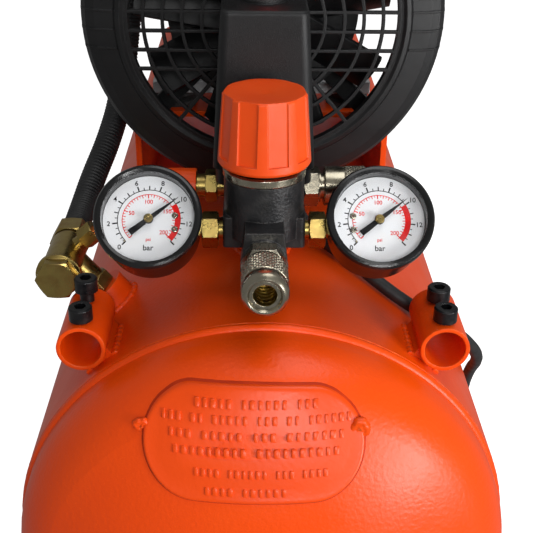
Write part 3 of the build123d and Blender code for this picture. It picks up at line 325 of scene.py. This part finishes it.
def make_finishes():
    made = {}
    f = Finish("orange_paint", (0.80, 0.062, 0.0005), 0.36, Specular_IOR_Level=0.3)
    f.mottle(9.0, (0.80, 0.072, 0.001)).mottle(900.0, (0.9, 0.09, 0.003), 0.62, 0.8)
    f.soften(0.0012).edges(0.0012, (0.95, 0.19, 0.03), 0.7).grain(420.0, 0.0002).rough(30.0, 0.3, 0.4)
    made["orange_paint"] = f
    f = Finish("orange_crisp", (0.80, 0.064, 0.0005), 0.34, Specular_IOR_Level=0.35)
    f.mottle(14.0, (0.74, 0.056, 0.001)).grain(420.0, 0.0001).rough(30.0, 0.28, 0.38)
    made["orange_crisp"] = f
    # Darker orange: painted shade for the line round the data plate's pressed edge.
    f = Finish("orange_painted_shade", (0.42, 0.024, 0.001), 0.6, Specular_IOR_Level=0.2)
    f.mottle(60.0, (0.6, 0.04, 0.001))
    made["orange_painted_shade"] = f
    f = Finish("orange_plastic", (0.82, 0.07, 0.003), 0.4, Specular_IOR_Level=0.35)
    f.mottle(60.0, (0.82, 0.08, 0.005)).soften(0.0008).edges(0.0008, (0.92, 0.24, 0.1), 0.5)
    f.grain(2600.0, 0.00008).rough(90.0, 0.34, 0.46)
    made["orange_plastic"] = f
    f = Finish("black_plastic", (0.006, 0.006, 0.0065), 0.42, Specular_IOR_Level=0.35)
    f.mottle(40.0, (0.01, 0.01, 0.0105)).soften(0.0008).edges(0.0008, (0.05, 0.05, 0.052), 0.6)
    f.grain(3000.0, 0.00012).rough(70.0, 0.36, 0.5)
    made["black_plastic"] = f
    f = Finish("black_gloss", (0.006, 0.006, 0.006), 0.16, Specular_IOR_Level=0.4)
    f.mottle(50.0, (0.013, 0.013, 0.014)).soften(0.0005).rough(60.0, 0.1, 0.22).grain(900.0, 0.00004)
    made["black_gloss"] = f
    f = Finish("dark_metal", (0.014, 0.014, 0.015), 0.36, 0.2)
    f.mottle(120.0, (0.026, 0.025, 0.025)).soften(0.0009).edges(0.0009, (0.12, 0.11, 0.1), 0.8)
    f.grain(700.0, 0.00025).rough(120.0, 0.28, 0.45)
    made["dark_metal"] = f
    f = Finish("black_steel", (0.016, 0.016, 0.018), 0.3, 0.7)
    f.mottle(200.0, (0.035, 0.034, 0.034)).soften(0.0005).edges(0.0005, (0.2, 0.2, 0.2), 0.6)
    f.rough(200.0, 0.24, 0.4).grain(1800.0, 0.00005)
    made["black_steel"] = f
    f = Finish("rubber", (0.014, 0.014, 0.014), 0.72)
    f.mottle(80.0, (0.03, 0.029, 0.028)).grain(1500.0, 0.0002).rough(90.0, 0.62, 0.82)
    made["rubber"] = f
    f = Finish("black_rubber", (0.01, 0.01, 0.011), 0.5)
    f.mottle(90.0, (0.02, 0.02, 0.02)).grain(2200.0, 0.0001).rough(110.0, 0.42, 0.6)
    made["black_rubber"] = f
    f = Finish("tyre", (0.012, 0.012, 0.012), 0.78)
    f.mottle(45.0, (0.032, 0.03, 0.028)).soften(0.0008).grain(1300.0, 0.00025).rough(60.0, 0.68, 0.88)
    made["tyre"] = f
    f = Finish("brass", (0.37, 0.275, 0.085), 0.32, 1.0)
    f.mottle(140.0, (0.3, 0.19, 0.06)).mottle(30.0, (0.5, 0.37, 0.13), 0.55, 0.8).soften(0.0006)
    f.edges(0.0006, (0.78, 0.6, 0.28), 0.8).grain(600.0, 0.00005).rough(160.0, 0.22, 0.38)
    made["brass"] = f
    f = Finish("copper", (0.72, 0.26, 0.13), 0.25, 1.0)
    f.mottle(90.0, (0.5, 0.17, 0.08)).rough(120.0, 0.18, 0.36).grain(500.0, 0.0001)
    made["copper"] = f
    f = Finish("nickel", (0.38, 0.345, 0.265), 0.26, 1.0)
    f.mottle(110.0, (0.3, 0.27, 0.2)).soften(0.0005).edges(0.0005, (0.85, 0.82, 0.76), 0.7)
    f.rough(150.0, 0.18, 0.32).grain(900.0, 0.00003)
    made["nickel"] = f
    f = Finish("steel", (0.55, 0.56, 0.58), 0.3, 1.0)
    f.mottle(100.0, (0.44, 0.45, 0.47)).soften(0.0006).rough(140.0, 0.22, 0.42).grain(800.0, 0.00008)
    made["steel"] = f
    f = Finish("aluminium", (0.58, 0.59, 0.6), 0.46, 0.9)
    f.mottle(60.0, (0.48, 0.48, 0.49)).soften(0.0012).edges(0.0012, (0.75, 0.75, 0.76), 0.7)
    f.grain(900.0, 0.0004).rough(90.0, 0.38, 0.56)
    made["aluminium"] = f
    f = Finish("cast_iron", (0.09, 0.09, 0.095), 0.6, 0.8)
    f.mottle(120.0, (0.15, 0.145, 0.14)).soften(0.001).grain(700.0, 0.0005).rough(100.0, 0.5, 0.7)
    made["cast_iron"] = f
    f = Finish("laminations", (0.24, 0.22, 0.2), 0.5, 0.8)
    f.mottle(90.0, (0.16, 0.11, 0.08)).grain(300.0, 0.0003, (1.0, 12.0, 1.0)).rough(80.0, 0.42, 0.6)
    made["laminations"] = f
    f = Finish("red_plastic", (0.62, 0.012, 0.01), 0.28, Coat_Weight=0.3)
    f.mottle(80.0, (0.54, 0.009, 0.008)).soften(0.0006).grain(1400.0, 0.00006).rough(90.0, 0.22, 0.36)
    made["red_plastic"] = f
    f = Finish("white_paint", (0.88, 0.895, 0.92), 0.5, Specular_IOR_Level=0.3)
    f.mottle(120.0, (0.87, 0.875, 0.88)).grain(2400.0, 0.00003).rough(120.0, 0.36, 0.5)
    made["white_paint"] = f
    f = Finish("lens", (0.02, 0.02, 0.02), 0.03, Alpha=0.03, Specular_IOR_Level=0.4)
    f.mottle(60.0, (0.9, 0.92, 0.93)).rough(90.0, 0.02, 0.07)
    made["lens"] = f
    return {name: finish.mat for name, finish in made.items()}


FINISH = make_finishes()


def dress_nodes():
    """Every CAD node takes the finish of its slot in the record."""
    for part in frame["record"]["subparts"]:
        obj = NODES[part["node"]]
        obj.data.materials.clear()
        obj.data.materials.append(FINISH[part["material_slot"]])


# ---- camera, light and floor ----
def make_camera():
    data = bpy.data.cameras.new("camera")
    data.sensor_width = 36.0
    data.lens = 66.07
    data.clip_start = 0.01
    camera = place_object("camera", data)
    pan = Matrix.Rotation(math.radians(-0.989), 4, "Z")
    pitch = Matrix.Rotation(math.radians(90 - 27.92), 4, "X")
    roll = Matrix.Rotation(math.radians(0.611), 4, "Z")
    camera.matrix_world = Matrix.Translation((-0.0066, -0.7963, 0.6503)) @ (pan @ pitch @ roll)
    bpy.context.scene.camera = camera


def area_light(name, place, target, size, power):
    data = bpy.data.lights.new(name, "AREA")
    data.shape = "RECTANGLE"
    data.size, data.size_y = size
    data.energy = power
    light = place_object(name, data)
    run = Vector(target) - Vector(place)
    light.matrix_world = Matrix.Translation(place) @ run.to_track_quat("-Z", "Y").to_matrix().to_4x4()


def make_stage():
    bm = bmesh.new()
    prism(bm, [(-9000, -9000), (9000, -9000), (9000, 9000), (-9000, 9000)], -20, 0)
    floor = new_mesh("floor", bm)
    paint = Finish("floor_paper", (0.86, 0.86, 0.86), 0.8, Emission_Color=(1, 1, 1, 1), Emission_Strength=0.8)
    paint.mottle(1.5, (0.84, 0.84, 0.845)).grain(300.0, 0.0001)
    floor.data.materials.append(paint.mat)
    floor.visible_glossy = False
    floor.visible_diffuse = False
    world = bpy.data.worlds.new("studio")
    world.use_nodes = True
    world.node_tree.nodes["Background"].inputs["Color"].default_value = (1, 1, 1, 1)
    world.node_tree.nodes["Background"].inputs["Strength"].default_value = 0.26
    bpy.context.scene.world = world
    bpy.context.scene.view_settings.view_transform = "Standard"
    area_light("key", (1.15, -1.35, 0.42), (0, -0.35, 0.25), (0.75, 0.6), 20)
    area_light("front", (0.3, -2.3, 1.3), (0, -0.1, 0.35), (0.6, 0.6), 17)
    area_light("top", (0.4, -0.3, 2.3), (0, -0.1, 0.3), (1.4, 1.0), 12)


# ---- mains cord ----
CORD_ROUTE = [
    (16, -234, 427), (16, -234, 408), (23.5, -240.6, 390.7), (37, -253, 380.6), (55, -270, 375.3),
    (73, -285, 365.3), (92, -290, 353.3), (111, -284.5, 339.5), (128.5, -273, 321.5),
    (141, -259, 302), (146.3, -241, 283.5), (147.6, -223, 266.5), (148, -209, 243), (148, -204, 213),
    (148, -209, 172), (147.8, -221, 130), (147.6, -230, 91), (147.3, -232, 54), (147.2, -222.9, 30.3),
    (147, -206, 13.4), (146.5, -183.9, 4.4), (147.5, -164.3, 4.3), (149.3, -147, 4.3),
]
TAIL_ROUTE = [
    (51, -150, 12.4), (53, -164.3, 12.5), (53.3, -176.5, 14.1), (51.3, -192.5, 18.5), (50, -204, 19),
    (50, -215.5, 19.1),
]
PLUG_PLACE = (50, -211, 19)
COIL_CENTRE = (100, -130)
CORD_RADIUS = 4.0
# The coil's turns: degrees round the centre, radius and height.
COIL_TURNS = [
    (0, 50, 4.3), (300, 50, 4.3), (358, 42, 4.3), (640, 42, 4.3), (700, 42, 12.4), (975, 42, 12.4),
    (1045, 50, 12.4), (1260, 50, 12.4),
]


def coil_points(step=20):
    found = []
    for (a0, r0, z0), (a1, r1, z1) in zip(COIL_TURNS, COIL_TURNS[1:]):
        for angle in range(0, COIL_TURNS[-1][0] + 1, step):
            if a0 <= angle < a1 or angle == a1 == COIL_TURNS[-1][0]:
                share = (angle - a0) / (a1 - a0)
                share = share * share * (3 - 2 * share)
                radius = (r0 + (r1 - r0) * share) / math.cos(math.radians(step / 2))
                turn = math.radians(angle)
                x = COIL_CENTRE[0] + radius * math.cos(turn)
                y = COIL_CENTRE[1] + radius * math.sin(turn)
                found.append((x, y, z0 + (z1 - z0) * share))
    return found


def make_cord():
    route = CORD_ROUTE + coil_points() + TAIL_ROUTE
    curve = nurbs("mains_cord", route)
    curve.bevel_depth = CORD_RADIUS * MM
    curve.bevel_resolution = 4
    curve.use_fill_caps = True
    cord = place_object("mains_cord", curve)
    ride(cord, "tank", FINISH["black_rubber"])
    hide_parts("power_cord", "power_cord_coil")
    line = spline_points(route)

    bm = bmesh.new()
    x, y, z = 16, -234, 432.5
    down = frame_at((x, y, z), (0, 0, -1))
    taper = [(4.05, 0), (6.8, 0), (6.8, 3), (6.3, 3.6)]
    for ring in range(5):
        h = 4.2 + 3.0 * ring
        r = 6.3 - 0.2 * ring
        taper += [(r, h), (r, h + 1.8), (r - 0.7, h + 2.1), (r - 0.7, h + 2.7)]
    taper += [(5.2, 19.4), (5.0, 20.4), (4.05, 20.4)]
    lathe(bm, taper, down, 32)
    relief = ride(new_mesh("strain_relief", bm), "tank", FINISH["black_rubber"])
    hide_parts("cord_gland")

    bm = bmesh.new()
    place = frame_at(PLUG_PLACE, (0, -1, 0))
    shape = [(4.05, 0), (5.6, 0), (6.0, 1), (6.4, 4), (7.6, 8), (12, 11.5), (16.6, 14)]
    shape += [(18.4, 16), (18.9, 19), (18.9, 40.6), (18, 42), (0.2, 42), (0.2, 6), (4.05, 6)]

    def grips(index, turn, height):
        return -1.1 * max(0.0, math.cos(12 * turn)) ** 2 if 15 < height < 40 and index < 10 else 0.0

    lathe(bm, shape, place, 96, grips)
    plug = ride(new_mesh("mains_plug", bm), "tank", FINISH["black_rubber"])
    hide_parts("power_plug")
    bm = bmesh.new()
    for side in (-9.5, 9.5):
        pin = frame_at((PLUG_PLACE[0] + side, PLUG_PLACE[1] - 41, PLUG_PLACE[2]), (0, -1, 0))
        lathe(bm, [(0.05, 0), (2.4, 0), (2.4, 18), (2.1, 19.3), (1.4, 20), (0.05, 20)], pin, 24)
    pins = ride(new_mesh("plug_pins", bm), "tank", FINISH["nickel"])

    bm = bmesh.new()
    tie_turn = math.radians(100)
    out = Vector((math.cos(tie_turn), math.sin(tie_turn), 0))
    middle = Vector((*COIL_CENTRE, 8.35)) + out * 46
    half_w, half_h, corner = 8.4, 7.8, 3.6
    loop = []
    for quarter in range(4):
        cx = (half_w - corner) * (1 if quarter in (0, 3) else -1)
        cz = (half_h - corner) * (1 if quarter in (0, 1) else -1)
        for k in range(6):
            turn = math.radians(90 * quarter + 18 * k)
            rise = Vector((0, 0, cz + corner * math.sin(turn)))
            loop.append(middle + out * (cx + corner * math.cos(turn)) + rise)
    along = Vector((-out.y, out.x, 0))
    rings = [[bm.verts.new(p + along * s + (p - middle).normalized() * t) for p in loop]
             for s, t in ((-5, -0.1), (-5, 0.5), (5, 0.5), (5, -0.1))]
    for near, far in zip(rings, rings[1:] + rings[:1]):
        bridge(bm, near, far)
    tie = ride(new_mesh("coil_tie", bm), "tank", FINISH["black_plastic"])


# ---- hose ----
HOSE_ROUTE = [
    (-117.9, -256, 380.5), (-117.9, -219, 380.5), (-112.5, -192, 396), (-104.5, -167, 412),
    (-98.5, -140, 431), (-95, -120, 460), (-90, -113, 499), (-82, -115, 540), (-71, -122, 579),
    (-64, -125, 609),
]


def make_hose():
    points = evenly(spline_points(HOSE_ROUTE), 0.5)
    bm = bmesh.new()
    pitch = 5

    def ribbed(index):
        return 8.25 + 0.22 * math.cos(2 * math.pi * index / pitch)

    sweep(bm, points, ribbed, 28)
    hose = ride(new_mesh("ribbed_hose", bm, 80), "tank", FINISH["black_rubber"])
    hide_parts("discharge_hose")
    bm = bmesh.new()
    for end in (0, -1):
        run = points[0 if end == 0 else -1] - points[20 if end == 0 else -21]
        lathe(bm, [(8.1, 0), (9.6, 0), (9.9, 0.6), (9.9, 9), (9.5, 9.6), (8.6, 9.6)],
              frame_at(points[26 if end == 0 else -27], run), 40)
    ride(new_mesh("hose_ferrules", bm), "tank", FINISH["brass"])


# ---- quick couplers ----
def knurled_sleeve(name, node, body, origin, direction, grip):
    """A sleeve with real diamonds on its grip and a plain bevelled ring in front."""
    bm = bmesh.new()
    low, high = grip
    outline = [(7.85, 12.0), (10.9, 12.0), (11.7, 12.6)]
    if low > 15:
        outline += [(11.7, low - 0.8), (11.1, low - 0.4)]
    first = len(outline)
    outline += [(11.6, low + (high - low) * k / 34) for k in range(35)]
    last = len(outline)
    outline += [(11.7, high + 0.4), (10.6, high + 0.8)]
    if high < 30:
        outline += [(10.6, 28.9), (11.7, 29.4), (12.0, 30.2), (12.0, 35.2), (11.5, 36.4), (10.0, 37.7)]
    else:
        outline += [(10.6, 37.0)]
    outline += [(9.6, 38.0), (8.6, 37.8), (7.85, 36.6)]

    def diamonds(index, turn, height):
        if not first <= index < last:
            return 0.0
        share = height / (2 * math.pi * 11.6)
        left = abs(((26 * (turn / (2 * math.pi) + share)) % 1.0) - 0.5) * 2
        right = abs(((26 * (turn / (2 * math.pi) - share)) % 1.0) - 0.5) * 2
        return 0.4 - 0.75 * max(1 - 2.2 * (1 - left), 1 - 2.2 * (1 - right), 0.0)

    lathe(bm, outline, frame_at(origin, direction), 208, diamonds)
    sleeve = ride(new_mesh(name, bm, 30), body, FINISH["nickel"])
    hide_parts(node)


def bore_rings(name, origin, direction):
    """The stepped brass lining seen in a coupler's mouth, with an inward brass lip where the seal sits."""
    place = frame_at(origin, direction)
    bm = bmesh.new()
    profile = [(5.98, 15.0), (5.98, 36.4), (5.86, 36.3)]
    for step in range(6):
        h = 34.5 - 3.2 * step
        profile += [(5.84, h), (5.76, h - 0.4), (5.76, h - 1.5), (5.9, h - 1.9)]
    profile += [(5.8, 15.4), (4.1, 15.2), (4.1, 14.9)]
    lathe(bm, profile, place, 48)
    ride(new_mesh(f"{name}_lining", bm, 30), "tank", FINISH["brass"])


def make_valve_sleeve():
    """The safety valve's plastic sleeve, with shallow grip flats."""
    bm = bmesh.new()
    outline = [(9.65, 0), (10.1, 0.0), (10.4, 0.6), (10.4, 17.6), (9.9, 18.4), (9.65, 18.4)]
    lathe(bm, outline, frame_at((-39.2, SWITCH_Y, PORT_Z), (-1, 0, 0)), 96,
          lambda i, t, h: -0.22 * max(0.0, math.cos(16 * t)) ** 3 if 1 < i < 4 else 0.0)
    ride(new_mesh("valve_sleeve", bm, 30), "tank", FINISH["orange_plastic"])


# ---- dials ----
def gauge_place(side):
    lean = GAUGE_TILT
    up = Vector((0, math.sin(lean), math.cos(lean)))
    out = Vector((0, -math.cos(lean), math.sin(lean)))
    turn = Matrix((Vector((1, 0, 0)), up, out)).transposed().to_4x4()
    return Matrix.Translation((side * GAUGE_X, REG_Y, GAUGE_Z)) @ turn


def bar_angle(bar):
    return 225 - 19.29 * bar


def write(bm, text, size, centre, low, high, place):
    """Raised figures on a dial."""
    data = bpy.data.curves.new("figures", "FONT")
    data.body = text
    data.size = size
    data.align_x = "CENTER"
    data.align_y = "CENTER"
    data.extrude = (high - low) / 2
    data.offset = size * 0.012
    obj = place_object("figures", data)
    bpy.context.view_layer.update()
    mesh = bpy.data.meshes.new_from_object(obj.evaluated_get(bpy.context.evaluated_depsgraph_get()))
    mesh.transform(place @ Matrix.Translation((centre[0], centre[1], (low + high) / 2)))
    bm.from_mesh(mesh)
    bpy.data.objects.remove(obj)
    bpy.data.curves.remove(data)
    bpy.data.meshes.remove(mesh)


def polar(radius, angle):
    return radius * math.cos(math.radians(angle)), radius * math.sin(math.radians(angle))


def make_dial(side, name):
    place = gauge_place(side)
    low, high = 17.78, 17.9
    black, red = bmesh.new(), bmesh.new()
    sector(black, 16.35, 16.75, bar_angle(14), bar_angle(0), low, high, place, 90)
    for half in range(29):
        bar = half / 2
        length, width = (2.7, 2.2) if half % 4 == 0 else (2.2, 1.8) if half % 2 == 0 else (1.4, 1.3)
        a = bar_angle(bar)
        sector(black, 16.6, 16.6 + length, a - width / 2, a + width / 2, low, high, place)
    for bar in range(0, 14, 2):
        write(black, str(bar), 3.7, polar(21.3, bar_angle(bar)), low, high, place)
    write(black, "bar", 4.2, (0, -15.4), low, high, place)
    sector(red, 13.85, 14.2, bar_angle(14), bar_angle(0), low, high, place, 90)
    sector(red, 14.0, 16.9, bar_angle(13.9), bar_angle(10), low, high + 0.02, place, 30)
    for psi in range(0, 201, 5):
        a = bar_angle(psi * 0.0689476)
        length, width = (2.0, 2.4) if psi % 50 == 0 else (1.6, 1.7) if psi % 10 == 0 else (1.1, 1.2)
        sector(red, 13.95 - length, 13.95, a - width / 2, a + width / 2, low, high, place)
    for psi in (50, 100, 150, 200):
        reach = 9.9 if psi in (50, 100) else 10.6
        write(red, str(psi), 3.1, polar(reach, bar_angle(psi * 0.0689476)), low, high, place)
    write(red, "psi", 2.5, (0, -10.8), low, high, place)
    ride(new_mesh(f"dial_black_{name}", black, 20), "tank", FINISH["dial_black"])
    ride(new_mesh(f"dial_red_{name}", red, 20), "tank", FINISH["dial_red"])
    bm = bmesh.new()
    for y in (2.4, -5.2):
        spot = place @ Matrix.Translation((-side * 13.8, y, 17.7))
        lathe(bm, [(0.4, 0), (1.75, 0), (1.75, 0.5), (1.3, 0.9), (0.4, 0.9), (0.4, 0.4)], spot, 20)
    spot = place @ Matrix.Translation((*polar(17.0, 223), 17.7))
    lathe(bm, [(0.02, 0), (0.6, 0), (0.6, 0.8), (0.02, 0.9)], spot, 12)
    ride(new_mesh(f"dial_screws_{name}", bm), "tank", FINISH["nickel"])
    bm = bmesh.new()
    cap = place @ Matrix.Rotation(math.radians(35), 4, "Z")
    lathe(bm, [(0.02, 20.8), (2.45, 20.8), (2.45, 21.3), (0.02, 21.3)], cap, 24)
    for start in (8, 188):
        sector(bm, 0.3, 2.3, start, start + 164, 21.2, 21.9, cap, 12)
    ride(new_mesh(f"needle_cap_{name}", bm, 30), f"needle_{name}", FINISH["brass"])


# ---- tank details ----
def weld(bm, points, radius, closed=False, seed=0.0):
    """A weld bead: a rope of overlapping small ripples."""
    points = evenly([Vector(p) for p in points], 0.9)

    def ripple(index):
        return radius * (0.92 + 0.12 * math.cos(index * 1.25 + seed) + 0.06 * math.sin(index * 0.37 + seed))

    sweep(bm, points, ripple, 10, closed)


def make_tank_details():
    bm = bmesh.new()
    for side in (-1, 1):
        place = frame_at((0, side * 350, TANK_Z), (0, side, 0))
        ring = [(139.2, 0.2), (142.2, 0.1), (142.4, 0.8), (142.1, 2.2), (141.2, 3.4), (140.2, 4.0)]
        ring += [(139.2, 4.2)]
        lathe(bm, ring, place, 200, lambda i, t, h: 0.12 * math.sin(110 * t + i) if 1 < i < 5 else 0.0)
    for angle, y, radius in ((0, -260, 15.4), (-39.5, -272, 15.4), (180, -60, 13.4)):
        turn = math.radians(angle)
        out = Vector((math.sin(turn), 0, math.cos(turn)))
        ring = []
        for k in range(120):
            a = math.radians(3 * k)
            across = out.cross(Vector((0, 1, 0)))
            dx, dy = radius * math.cos(a), radius * math.sin(a)
            drop = math.sqrt(TANK_R ** 2 - dx ** 2)
            ring.append(Vector((0, y, TANK_Z)) + across * dx + Vector((0, dy, 0)) + out * drop)
        weld(bm, ring + ring[:1], 2.2, False, angle)
    for side in (-1, 1):
        for edge in (-1, 1):
            out = Vector((side * SOCKET_X, 0, SOCKET_RISE)).normalized()
            across = out.cross(Vector((0, 1, 0)))
            line = [Vector((0, y, TANK_Z)) + out * 141.8 + across * edge * 9.4 for y in range(-341, -309, 2)]
            weld(bm, line, 2.3, False, edge)
        rise = math.sqrt(TANK_R ** 2 - PLATFORM_HALF_X ** 2)
        along = range(PLATFORM_RUN[0] + 8, PLATFORM_RUN[1] - 6, 2)
        weld(bm, [Vector((side * 88.2, y, TANK_Z + rise - 0.6)) for y in along], 2.2, False, side)
    ride(new_mesh("weld_beads", bm, 60), "tank", FINISH["orange_paint"])


def head_point(x, z, lift=0.0):
    """A point on the front end of the tank, or above it."""
    radius = math.hypot(x, z - TANK_Z)
    knuckle_x = HEAD_R - HEAD_KNUCKLE
    arm = HEAD_CROWN - HEAD_KNUCKLE
    crown_y = math.sqrt(arm ** 2 - knuckle_x ** 2)
    lean = math.asin(knuckle_x / arm)
    crown = HEAD_CROWN + lift
    if radius < crown * math.sin(lean):
        reach = math.sqrt(crown ** 2 - radius ** 2) - crown_y
    else:
        knuckle = HEAD_KNUCKLE + lift
        reach = math.sqrt(max(0.0, knuckle ** 2 - (radius - knuckle_x) ** 2))
    return Vector((x, SEAM_Y - HEAD_STRAIGHT - reach, z))


def stadium(half_run, radius, steps=28, straights=24):
    outline = []
    for side, first in ((1, -90), (-1, 90)):
        for k in range(steps + 1):
            x, z = polar(radius, first + 180 * k / steps)
            outline.append((side * half_run + x, z))
        for k in range(1, straights):
            outline.append((side * half_run * (1 - 2 * k / straights), side * radius))
    return outline


PLATE_HALF_RUN = 30.8
PLATE_RADIUS = 25.3
PLATE_X = -5.3
PLATE_Z = TANK_Z + 103.2
# Rows of dashes on the plate: height, left end, right end, then the dashes in each group.
PLATE_ROWS = [
    (19.2, -30.7, 33.2, (5, 6, 3)), (12.5, -47.6, 50.0, (3, 2, 5, 3, 2, 6)), (5.4, -44.0, 46.5, (3, 5, 3, 7)),
    (-1.9, -41.8, 43.9, (9, 10)), (-11.4, -30.7, 38.1, (4, 6, 3, 4)), (-20.0, -25.4, 17.2, (4, 6)),
]


def pressed(bm, outline, levels, cx, cz):
    """A raised patch that follows the tank's end, over a flat outline that shrinks as it rises."""
    rings = []
    for shrink, lift in levels:
        ring = [head_point(cx + x, cz + z, lift) for x, z in outline(shrink)]
        rings.append([bm.verts.new(p) for p in ring])
    for near, far in zip(rings, rings[1:]):
        bridge(bm, near, far)
    bm.faces.new(rings[-1])
    bm.faces.new(list(reversed(rings[0])))


def block_outline(half_x, half_z):
    """A small block with its corners cut, seen from the front."""
    cut = 0.3 * min(half_x, half_z)
    return [(half_x, half_z - cut), (half_x - cut, half_z), (cut - half_x, half_z), (-half_x, half_z - cut),
            (-half_x, cut - half_z), (cut - half_x, -half_z), (half_x - cut, -half_z), (half_x, cut - half_z)]


def plate_outline(radius):
    """The plate's edge, its upper side bowed a little to follow the dome."""
    outline = []
    for x, z in stadium(PLATE_HALF_RUN, radius):
        bow = 1.35 - 2.7 * min(1.0, (x / 45.0) ** 2)
        outline.append((x, z + bow * max(0.0, z) / radius))
    return outline


def make_plate():
    """The blank data plate, pressed over the tank's end, with rows of raised dashes, a dark line of painted
    shade round its edge and two tack welds.
    """
    bm = bmesh.new()
    levels = [(0.0, -0.4), (0.0, 0.8), (0.4, 1.15), (1.0, 1.2), (2.0, 1.1), (3.0, 0.9)]
    levels += [(8, 0.85), (14, 0.85), (20, 0.85)]
    pressed(bm, lambda inset: plate_outline(PLATE_RADIUS - inset), levels, PLATE_X, PLATE_Z)
    plate = ride(new_mesh("blank_plate", bm, 60), "tank", FINISH["orange_crisp"])
    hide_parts("data_plate")

    bm = bmesh.new()
    for z, left, right, groups in PLATE_ROWS:
        pitch = (right - left) / (sum(groups) + 0.9 * (len(groups) - 1))
        x = left
        for count in groups:
            for k in range(count):
                width = pitch * (0.34, 0.27, 0.36, 0.24, 0.31)[(k + count) % 5]
                pressed(bm, lambda inset: block_outline(width - inset, 1.9 - inset),
                        [(0.0, 0.5), (0.05, 1.35), (0.3, 1.5)], PLATE_X + x + pitch / 2, PLATE_Z + z)
                x += pitch
            x += 0.9 * pitch
    ride(new_mesh("plate_dashes", bm, 60), "tank", FINISH["orange_crisp"])

    # A thin dark strip laid all round the plate's edge: painted shade for the shadow along its pressed edge.
    bm = bmesh.new()
    rings = []
    for grow, lift in ((0.9, -0.2), (0.8, 0.12), (-0.5, 0.14), (-0.6, -0.2)):
        ring = [head_point(PLATE_X + x, PLATE_Z + z, lift) for x, z in plate_outline(PLATE_RADIUS + grow)]
        rings.append([bm.verts.new(p) for p in ring])
    for near, far in zip(rings, rings[1:] + rings[:1]):
        bridge(bm, near, far)
    ride(new_mesh("plate_edge_painted_shade", bm, 60), "tank", FINISH["orange_painted_shade"])

    bm = bmesh.new()
    for x, z, size in ((-57.2, 5.2, 0.85), (53.7, 6.2, 1.15)):
        centre = head_point(PLATE_X + x, PLATE_Z + z, 0.4)
        spot = (PLATE_X + x, PLATE_Z + z)
        out = (head_point(*spot, 10) - head_point(*spot, 0)).normalized()
        dome = [(0.02, -1.2), (4.9, -1.2), (4.8, 0.2), (4.0, 1.4), (3.0, 1.7), (2.0, 1.1)]
        dome += [(1.0, 1.5), (0.02, 1.7)]
        dome = [(r * size, h * size) for r, h in dome]
        lathe(bm, dome, frame_at(centre, out), 36,
              lambda i, t, h: 0.45 * math.sin(3 * t + x) + 0.25 * math.sin(7 * t))
    ride(new_mesh("tack_welds", bm, 60), "tank", FINISH["orange_paint"])


# ---- the scene ----
def main():
    for name, color in (("dial_black", (0.01, 0.01, 0.011)), ("dial_red", (0.74, 0.006, 0.006))):
        ink = Finish(name, color, 0.6, Specular_IOR_Level=0.15)
        ink.mottle(200.0, tuple(1.3 * c for c in color)).rough(200.0, 0.45, 0.6)
        FINISH[name] = ink.mat
    dress_nodes()
    make_camera()
    make_stage()
    make_cord()
    make_hose()
    front = ((0, SEAM_Y + 1, COUPLER_Z), (0, -1, 0))
    side = ((24, SWITCH_Y, PORT_Z), (1, 0, 0))
    knurled_sleeve("knurled_front", "coupler_front_sleeve", "front_sleeve", *front, (13.2, 27.4))
    knurled_sleeve("knurled_side", "coupler_side_sleeve", "side_sleeve", *side, (24.5, 35.8))
    bore_rings("front_coupler", *front)
    bore_rings("side_coupler", *side)
    make_valve_sleeve()
    make_dial(-1, "left")
    make_dial(1, "right")
    make_tank_details()
    make_plate()
    bpy.context.view_layer.update()


main()
